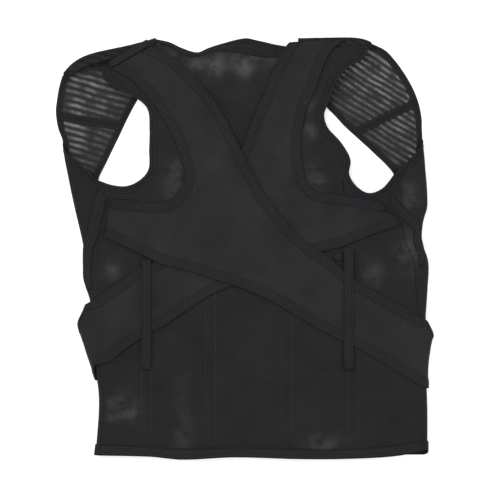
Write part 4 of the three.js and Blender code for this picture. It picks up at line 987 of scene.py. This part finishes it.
def build_bands():
    """The neck band, the shoulder band, the side tapes, the bone casings and channels and the care label."""
    x = np.linspace(NECK_BAND[0][0], NECK_BAND[-1][0], 120)
    first, second = (np.stack([x * HALF_WIDTH, line(NECK_BAND, x, k) * LENGTH], axis=1) for k in (1, 2))
    layer("neck_band", first, second, 1, NECK_BAND_THICKNESS, 120, (0.5,))
    ends = np.asarray([OVER["neck"][0], OVER["arm"][0]]) * (HALF_WIDTH, LENGTH)
    far, near = (spaced(inset(ends, distance), 20) for distance in (-SHOULDER_BAND_WIDTH, -2.0 * GAP))
    layer("left_shoulder_band", far, near, 1, BINDING_THICKNESS, 40, (0.2, 0.8))
    low, high = (SHOULDER_ROWS[:, k:k + 2] * (HALF_WIDTH, LENGTH) for k in (0, 2))
    stitch("left_shoulder_strap_stitches", between(low, high, 2), (0.0, 1.0), STRAP_THICKNESS)
    for name, rows in (("left_side_tape", LEFT_TAPE), ("right_side_tape", RIGHT_TAPE)):
        outer = smooth_path([row[:2] for row in rows], 60)
        inner = smooth_path([row[2:] for row in rows], 60)
        layer(name, outer, inner, 1, SIDE_TAPE_THICKNESS, 90, (0.2, 0.8))
    for name, across, high, low, level in CASINGS:
        layer(name, *upright(across, high, low, CASING_WIDTH), level, CASING_THICKNESS, 160, (0.12, 0.88))
    for name, across in CHANNELS:
        strip = upright(across, CHANNEL_HIGH, CHANNEL_LOW, CHANNEL_WIDTH)
        inside(name, strip, CHANNEL_THICKNESS, "tape_cloth")
        lines = between(*upright(across, CHANNEL_HIGH, CHANNEL_LOW, CHANNEL_WIDTH - 1.0), 1)
        stitch(f"{name}_stitches", lines, (0.0, 1.0), -GAP + 0.1)
    half = LABEL_LENGTH / LENGTH / 2.0
    label = upright(LABEL_ACROSS, LABEL_UP + half, LABEL_UP - half, LABEL_WIDTH)
    inside("care_label", label, LABEL_THICKNESS, "label_cloth")


def upright(across, high, low, width):
    """Two upright edges of a straight strip over the back."""
    y = np.linspace(high, low, 80) * LENGTH
    return [np.stack([np.full(80, across * HALF_WIDTH + shift * width), y], axis=1) for shift in (-0.5, 0.5)]


def layer(name, first, second, level, thickness, rows, lines):
    """A tape on the back between two edges, with its lines of stitches."""
    place = between(first, second, level)
    declare(wrap_sheet(name, place, rows, 8, thickness, 0.0, material("tape_cloth")), name)
    stitch(f"{name}_stitches", place, lines, thickness, len(lines) > 1)


def inside(name, strip, thickness, finish):
    """A strip on the inner face of the back."""
    over = between(*strip, 1)

    def place(along, across, lift):
        return over(along, across, lift - GAP)

    declare(wrap_sheet(name, place, 60, 8, thickness, -WALL - GAP - thickness, material(finish)), name)


def build_front_strap(name, strap, fine):
    """A front strap: flat on the floor, then over the shoulder fold to the back's top edge."""
    table = [(i, *row, float(i < strap["inside_rows"])) for i, row in enumerate(strap["rows"])]
    last = len(table) - 1
    fold = np.asarray(strap["fold"]) * (HALF_WIDTH, LENGTH)
    along = (fold[0] - fold[1]) / np.linalg.norm(fold[0] - fold[1])
    away = np.array([-along[1], along[0]])
    away = away if away[1] > 0.0 else -away
    fold = fold - away * SIDE_FOLD_RADIUS

    def section(index):
        """Inner and outer place, height of the floor side and turn, for a row number."""
        flat = np.clip(index, 0.0, last)
        values = [line(table, flat, k) for k in range(1, 6)]
        inner = np.stack([values[0] * HALF_WIDTH, values[1] * LENGTH], axis=-1)
        outer = np.stack([values[2] * HALF_WIDTH, values[3] * LENGTH], axis=-1)
        to_fold = np.clip(index - last, 0.0, 1.0)[..., None]
        turn = np.pi * np.clip((index - last - FOLD_BEGINS) / (FOLD_ENDS - FOLD_BEGINS), 0.0, 1.0)
        base = np.clip(values[4], 0.0, 1.0) * (WALL + GAP)
        return mix(inner, fold[0], to_fold), mix(outer, fold[1], to_fold), base, turn

    def point(index, distance, from_outer, height):
        """A point at a distance from one edge, as a share of the width when from_outer is None.

        The fold reaches out by its radius times the sine of the turn, less towards the outer edge, so
        that its corner is round. The bow moves the fold's outer half outward.
        """
        inner, outer, base, turn = section(index)
        width = np.linalg.norm(outer - inner, axis=-1)
        if from_outer is None:
            share = distance
        else:
            share = np.where(from_outer, 1.0 - distance / width, distance / width)
        plan = mix(inner, outer, share[..., None])
        within = np.clip(share, 0.0, 1.0)
        reach = SIDE_FOLD_RADIUS - height
        back = np.clip(index - last - FOLD_ENDS, 0.0, 1.0)
        bow = strap["bow"] * np.sin(np.pi * within**2) * np.clip(index - last, 0.0, 1.0)
        out = reach * np.sin(turn) * (1.0 - CORNER_CUT * within**CORNER_POWER)
        plan = plan + away * (out + bow - RETURN * back)[..., None]
        z = base + SIDE_FOLD_RADIUS - reach * np.cos(turn) - RETURN_SINK * back
        return np.concatenate([plan, z[..., None]], axis=-1)

    end = last + FOLD_ENDS + 1.0
    edge = FRONT_BINDING_WIDTH
    for part, outer_side in (("inner_binding", False), ("outer_binding", True)):
        def place(a, b, lift, outer_side=outer_side):
            return point(a * end, b * edge, np.full(a.shape, outer_side), lift)

        piece = wrap_sheet(f"{name}_{part}", place, 50 * fine, 8, WALL + 0.2, 0.0, material("tape_cloth"))
        declare(piece, f"{name}_{part}")
        stitch(f"{name}_{part}_stitches", place, (0.2, 0.8), WALL + 0.25)

    def middle(a, b, lift):
        """The ribbed cloth between the bindings: thirteen slanted ribs to a row, flat near both edges."""
        inner, outer, _, _ = section(a * end)
        low = (edge - 0.4) / np.linalg.norm(outer - inner, axis=-1)
        rib = RIB_HEIGHT * np.sin(2.0 * np.pi * (a * end * 13.0 + b * 3.0))
        inward = np.clip(8.0 * (1.0 - b) * b, 0.0, 1.0)
        return point(a * end, mix(low, 1.0 - low, b), None, lift + rib * inward)

    rows, columns = 60 * fine, 8 * fine
    a = np.linspace(0.0, 1.0, rows + 1)[:, None] + np.zeros((1, columns + 1))
    b = np.linspace(0.0, 1.0, columns + 1)[None, :] + 0.0 * a
    # How open the cloth is between its ribs, which also sets its painted light: none from the shoulder fold
    # on, and less near the inner edge
    ribs = (1.0 - smooth((a * end - last + 0.3) / 0.8)) * (0.45 + 0.55 * smooth(1.6 * b))
    panel(name, lambda lift: middle(a, b, lift), rows, columns, 0.0, "ribbed_mesh", None, ribs)
    gap = section(np.array([6.0, 7.0]))[0]
    tape_rows = CROSS_TAPE_WIDTH / np.linalg.norm(gap[1] - gap[0])

    def cross(a, b, lift):
        """The tape across the strap, from the middle of one binding to the middle of the other."""
        index = strap["tape_row"] + (b - 0.5) * tape_rows
        inner, outer, _, _ = section(index)
        inset_share = edge / 2.0 / np.linalg.norm(outer - inner, axis=-1)
        return point(index, mix(inset_share, 1.0 - inset_share, a), None, lift + WALL + GAP)

    piece = wrap_sheet(f"{name}_cross_tape", cross, 80, 8, CHANNEL_THICKNESS, 0.0, material("tape_cloth"))
    declare(piece, f"{name}_cross_tape")
    stitch(f"{name}_cross_tape_stitches", cross, (0.15, 0.85), CHANNEL_THICKNESS)


# Finishes: base colour, roughness, sheen and the depth of the relief in metres
FINISHES = {
    "mesh_cloth": ((0.0105, 0.0105, 0.0115), 0.9, 0.02, 0.00028),
    "ribbed_mesh": ((0.013, 0.013, 0.014), 0.85, 0.02, 0.0007),
    "strap_cloth": ((0.0125, 0.0125, 0.0132), 0.95, 0.03, 0.0004),
    "tape_cloth": ((0.0075, 0.0075, 0.009), 0.8, 0.02, 0.00022),
    "label_cloth": ((0.07, 0.07, 0.075), 0.6, 0.0, 0.00022),
    "thread": ((0.03, 0.03, 0.034), 0.6, 0.05, 0.0),
}

# Finishes whose colour is a setting of the panel
COLOUR_SETTINGS = {"mesh_cloth": "mesh_colour", "strap_cloth": "strap_colour", "tape_cloth": "tape_colour"}


class Nodes:
    """A small helper that adds shader nodes and links them."""

    def __init__(self, made):
        self.tree = made.node_tree
        self.shader = self.tree.nodes["Principled BSDF"]

    def add(self, kind, inputs=None, **settings):
        """One node with its settings and its inputs: a value, or a socket to link."""
        node = self.tree.nodes.new(kind)
        for key, value in settings.items():
            setattr(node, key, value)
        for key, value in (inputs or {}).items():
            if isinstance(value, bpy.types.NodeSocket):
                self.tree.links.new(value, node.inputs[key])
            else:
                node.inputs[key].default_value = value
        return node

    def math(self, operation, a, b=0.0):
        """A maths node's result."""
        return self.add("ShaderNodeMath", {0: a, 1: b}, operation=operation).outputs[0]

    def to_shader(self, socket, name):
        """Links a socket to one of the main shader's inputs."""
        self.tree.links.new(socket, self.shader.inputs[name])


def waves(nodes, socket, period):
    """A smooth wave from 0 to 1 along a coordinate in metres."""
    turned = nodes.math("SINE", nodes.math("MULTIPLY", socket, 2.0 * np.pi / period))
    return nodes.math("ADD", nodes.math("MULTIPLY", turned, 0.5), 0.5)


def noise(nodes, place, scale, detail):
    """Noise fixed to the piece's own place in the row."""
    where = {"Vector": place.outputs["Object"], "Scale": scale, "Detail": detail}
    return nodes.add("ShaderNodeTexNoise", where).outputs[0]


def cloth_relief(nodes, name, place, cloud):
    """The relief of a finish as a height, and its rib wave: crossed waves, or noise for the strap cloth."""
    axes = nodes.add("ShaderNodeSeparateXYZ", {0: place.outputs["Object"]})
    cloth = nodes.add("ShaderNodeSeparateXYZ", {0: place.outputs["UV"]})
    x, y, u, v = axes.outputs[0], axes.outputs[1], cloth.outputs[0], cloth.outputs[1]
    if name == "mesh_cloth":
        rib = waves(nodes, nodes.math("ADD", y, nodes.math("MULTIPLY", x, 0.03)), 0.0026)
        return nodes.math("ADD", rib, nodes.math("MULTIPLY", waves(nodes, x, 0.0019), 0.45)), rib
    if name == "ribbed_mesh":
        lean = nodes.math("ADD", nodes.math("MULTIPLY", nodes.math("GREATER_THAN", x, 0.0), 0.34), 0.28)
        wobble = nodes.math("MULTIPLY", cloud, 0.006)
        slanted = nodes.math("ADD", nodes.math("ADD", y, wobble), nodes.math("MULTIPLY", x, lean))
        rib = waves(nodes, slanted, 0.0076)
        return nodes.math("ADD", rib, nodes.math("MULTIPLY", waves(nodes, x, 0.0016), 0.12)), rib
    if name == "strap_cloth":
        grain = nodes.math("MULTIPLY", noise(nodes, place, 900.0, 3.0), 1.2)
        return nodes.math("ADD", grain, nodes.math("MULTIPLY", cloud, 0.5)), None
    rib = waves(nodes, v, 0.0016)
    return nodes.math("ADD", rib, nodes.math("MULTIPLY", waves(nodes, u, 0.0024), 0.5)), rib


def see_through(nodes, name, place, rib, colour):
    """Makes the mesh clearer between its ribs and at its thin places, and paints light into it there as if
    the pale ground showed through.

    Clearness is the open share between ribs plus 0.3 of the patchy thin places. Alpha is one minus that.
    """
    # How open the knit is here; the same share sets the painted light below
    thin = nodes.add("ShaderNodeAttribute", attribute_name="thinness").outputs["Fac"]
    streak = noise(nodes, place, 60.0, 4.0)
    open_and_painted_light_streaks = nodes.add("ShaderNodeMapRange", {"Value": streak, "From Min": 0.36, "From Max": 0.62})
    between_ribs = nodes.math("SUBTRACT", 1.0, rib)
    if name == "ribbed_mesh":
        gaps = nodes.math("MULTIPLY", between_ribs, thin)
        patchy = nodes.math("MULTIPLY", gaps, open_and_painted_light_streaks.outputs[0])
        patchy = nodes.math("ADD", patchy, nodes.math("MULTIPLY", gaps, 0.22))
        open_share = 0.1
    else:
        patchy = nodes.math("MULTIPLY", thin, open_and_painted_light_streaks.outputs[0])
        open_share = 0.04
    holes = nodes.math("MULTIPLY", between_ribs, open_share)
    clear = nodes.math("ADD", holes, nodes.math("MULTIPLY", patchy, 0.3))
    nodes.to_shader(nodes.math("SUBTRACT", 1.0, clear), "Alpha")
    # Painted light: pale grey, as strong as the patchy mask, is added to the colour as if the pale ground
    # showed through
    painted_ground_light = nodes.add("ShaderNodeVectorMath", {0: (0.056, 0.056, 0.059), 1: patchy}, operation="MULTIPLY")
    return nodes.add("ShaderNodeVectorMath", {0: colour, 1: painted_ground_light.outputs[0]}).outputs[0]


def material(name):
    """The finish of that name, made once."""
    found = bpy.data.materials.get(f"vest_{name}")
    if found:
        return found
    colour, roughness, sheen, depth = FINISHES[name]
    if name in COLOUR_SETTINGS:
        colour = tuple(getattr(settings(), COLOUR_SETTINGS[name]))
    made = bpy.data.materials.new(f"vest_{name}")
    made.use_nodes = True
    nodes = Nodes(made)
    shader = nodes.shader
    shader.inputs["Roughness"].default_value = roughness
    shader.inputs["Base Color"].default_value = (*colour, 1.0)
    shader.inputs["Sheen Weight"].default_value = sheen
    shader.inputs["Sheen Roughness"].default_value = 0.6
    shader.inputs["Specular IOR Level"].default_value = 0.12
    made.diffuse_color = (*colour, 1.0)
    if name == "thread":
        return made
    place = nodes.add("ShaderNodeTexCoord")
    cloud = noise(nodes, place, 28.0, 2.0)
    height, rib = cloth_relief(nodes, name, place, cloud)
    bump = nodes.add("ShaderNodeBump", {"Height": height, "Distance": depth, "Strength": 0.8})
    nodes.to_shader(bump.outputs[0], "Normal")
    # Painted shade: the relief and the cloud noise darken and lighten the colour from half to 1.7 times, as
    # light on the ribs and soft folds would
    shade = nodes.math("ADD", nodes.math("MULTIPLY", height, 0.45), nodes.math("MULTIPLY", cloud, 0.9))
    ramp = nodes.add("ShaderNodeMapRange", {"Value": shade, "To Min": 0.5, "To Max": 1.7, "From Max": 1.2})
    colour_with_painted_light = nodes.add("ShaderNodeVectorMath", {0: colour, 1: ramp.outputs[0]}, operation="MULTIPLY").outputs[0]
    if name in ("mesh_cloth", "ribbed_mesh"):
        colour_with_painted_light = see_through(nodes, name, place, rib, colour_with_painted_light)
    nodes.to_shader(colour_with_painted_light, "Base Color")
    return made


def cloth_colour(name, description, finish):
    """A colour setting that starts as the finish's own."""
    return FloatVectorProperty(
        name=name, description=description, default=FINISHES[finish][0],
        min=0.0, max=1.0, size=3, subtype="COLOR",
    )


class VestSettings(bpy.types.PropertyGroup):
    """How fine the cloth is made, the size of the stitches and the colours of the cloths."""

    fineness: IntProperty(
        name="Fineness", description="Grid steps for each step of the solids", default=6, min=2, max=10,
    )
    stitch_pitch: FloatProperty(
        name="Stitch pitch", description="Distance from one stitch to the next", default=0.0032,
        min=0.0015, max=0.008, unit="LENGTH",
    )
    thread_thickness: FloatProperty(
        name="Thread thickness", description="Thickness of a stitch in its middle", default=0.00068,
        min=0.0002, max=0.002, unit="LENGTH",
    )
    mesh_colour: cloth_colour("Mesh colour", "Colour of the fine knitted mesh", "mesh_cloth")
    strap_colour: cloth_colour("Strap colour", "Colour of the crossed straps", "strap_cloth")
    tape_colour: cloth_colour("Tape colour", "Colour of the bindings, tapes and casings", "tape_cloth")


def settings():
    """The scene's vest settings."""
    return bpy.context.scene.vest_settings


def flat_size(obj):
    """The flat cut of a closed cloth piece, as width, length and area in metres.

    Its area is half the piece's surface and its sides are the map's. The width grows where the area wouldn't
    fit, and the length shrinks where the cut would be mostly empty.
    """
    mesh = obj.data
    areas = np.zeros(len(mesh.polygons))
    mesh.polygons.foreach_get("area", areas)
    area = float(areas.sum() / 2.0)
    map_data = np.zeros(2 * len(mesh.loops))
    mesh.uv_layers[0].data.foreach_get("uv", map_data)
    spans = map_data.reshape(-1, 2).max(axis=0) - map_data.reshape(-1, 2).min(axis=0)
    width, length = (float(max(span, LEAST_CUT)) for span in spans)
    if area > width * length:
        width = area / length
    if area < EMPTY_CUT * width * length:
        length = area / (0.5 * width)
    return width, length, min(area, width * length)


# Lights: name, place and size in metres, and power in watts
LIGHTS = (("vest_key", (-0.9, 0.9, 1.9), 1.4, 26.0), ("vest_fill", (1.2, -0.6, 1.8), 1.8, 14.0))


def build_stage():
    """A pale floor under the vest, soft lights around it and the photo's camera straight above."""
    bpy.ops.mesh.primitive_plane_add(size=30.0, location=(0.0, 0.0, -0.0002))
    floor = bpy.context.object
    floor.name = "vest_floor"
    pale = bpy.data.materials.new("vest_floor")
    pale.use_nodes = True
    shader = pale.node_tree.nodes["Principled BSDF"]
    shader.inputs["Base Color"].default_value = (0.93, 0.93, 0.93, 1.0)
    shader.inputs["Roughness"].default_value = 0.9
    shader.inputs["Emission Color"].default_value = (1.0, 1.0, 1.0, 1.0)
    shader.inputs["Emission Strength"].default_value = 0.35
    floor.data.materials.append(pale)
    world = bpy.data.worlds.new("vest_world")
    world.use_nodes = True
    world.node_tree.nodes["Background"].inputs[0].default_value = (1.0, 1.0, 1.0, 1.0)
    world.node_tree.nodes["Background"].inputs[1].default_value = 0.75
    bpy.context.scene.world = world
    for name, place, size, power in LIGHTS:
        light = bpy.data.lights.new(name, "AREA")
        light.size = size
        light.energy = power
        lamp = bpy.data.objects.new(name, light)
        bpy.context.collection.objects.link(lamp)
        lamp.location = place
        lamp.rotation_euler = (-Vector(place)).to_track_quat("-Z", "Y").to_euler()
    centre = to_row(np.array(VIEW_CENTRE))
    camera = bpy.data.cameras.new("vest_camera")
    camera.lens = camera.sensor_width * CAMERA_HEIGHT / VIEW_WIDTH
    camera.clip_end = 50.0
    eye = bpy.data.objects.new("vest_camera", camera)
    bpy.context.collection.objects.link(eye)
    eye.location = (float(centre[0]), float(centre[1]), CAMERA_HEIGHT)
    bpy.context.scene.camera = eye
    bpy.context.scene.view_settings.view_transform = "Standard"


class VEST_OT_harness(bpy.types.Operator):
    """Builds the two crossed harness layers with their tapes and stitches"""

    bl_idname = "vest.harness"
    bl_label = "Build the harness"

    def execute(self, context):
        build_harness(("under_strap", "right_underarm_wing", "under_strap_neck_binding",
                       "under_strap_lower_binding", "right_harness_arm_binding"), UNDER)
        build_harness(("over_strap", "left_underarm_wing", "over_strap_neck_binding",
                       "over_strap_lower_binding", "left_harness_arm_binding"), OVER)
        return {"FINISHED"}


class VEST_OT_body(bpy.types.Operator):
    """Builds the back, side and front panels and the armhole tapes"""

    bl_idname = "vest.body"
    bl_label = "Build the body"

    def execute(self, context):
        build_back(settings().fineness)
        build_sides(settings().fineness)
        return {"FINISHED"}


class VEST_OT_straps(bpy.types.Operator):
    """Builds the two front straps"""

    bl_idname = "vest.front_straps"
    bl_label = "Build the front straps"

    def execute(self, context):
        build_front_strap("left_front_strap", LEFT_FRONT_STRAP, settings().fineness)
        build_front_strap("right_front_strap", RIGHT_FRONT_STRAP, settings().fineness)
        return {"FINISHED"}


class VEST_OT_bands(bpy.types.Operator):
    """Builds the placket, the bands, the side tapes, the casings, the channels and the label"""

    bl_idname = "vest.bands"
    bl_label = "Build the bands and tapes"

    def execute(self, context):
        build_placket()
        build_hem(settings().fineness)
        build_bands()
        return {"FINISHED"}


class VEST_OT_sheets(bpy.types.Operator):
    """Works out the flat cut of every cloth piece, without keeping it"""

    bl_idname = "vest.sheets"
    bl_label = "State the sheets"

    def execute(self, context):
        for obj in Frame.made.values():
            width, length, area = flat_size(obj)
        return {"FINISHED"}


class VEST_OT_stage(bpy.types.Operator):
    """Adds the pale floor, the soft light and the camera straight above"""

    bl_idname = "vest.stage"
    bl_label = "Set the stage"

    def execute(self, context):
        build_stage()
        return {"FINISHED"}


class VEST_PT_panel(bpy.types.Panel):
    """The vest's panel in the sidebar"""

    bl_idname = "VEST_PT_panel"
    bl_label = "Vest"
    bl_space_type = "VIEW_3D"
    bl_region_type = "UI"
    bl_category = "Vest"

    def draw(self, context):
        values = context.scene.vest_settings
        for name in ("fineness", "stitch_pitch", "thread_thickness", *COLOUR_SETTINGS.values()):
            self.layout.prop(values, name)
        for operator in OPERATORS:
            self.layout.operator(operator.bl_idname)


OPERATORS = (VEST_OT_stage, VEST_OT_body, VEST_OT_harness, VEST_OT_straps, VEST_OT_bands, VEST_OT_sheets)
CLASSES = (VestSettings, *OPERATORS, VEST_PT_panel)


def register():
    """Registers the classes and the scene's settings."""
    for cls in CLASSES:
        bpy.utils.register_class(cls)
    bpy.types.Scene.vest_settings = PointerProperty(type=VestSettings)


def unregister():
    """Removes what register added."""
    del bpy.types.Scene.vest_settings
    for cls in reversed(CLASSES):
        bpy.utils.unregister_class(cls)


def main():
    """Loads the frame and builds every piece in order."""
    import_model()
    low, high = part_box("front_placket")
    start = (FRONT_HEM_LOW + HEM_INSET) * LENGTH * 0.001
    Frame.shift = np.array([(low[0] + high[0]) / 2.0, low[1] - start, 0.0])
    register()
    bpy.ops.vest.stage()
    bpy.ops.vest.body()
    bpy.ops.vest.harness()
    bpy.ops.vest.front_straps()
    bpy.ops.vest.bands()
    bpy.ops.vest.sheets()


if __name__ == "__main__":
    main()
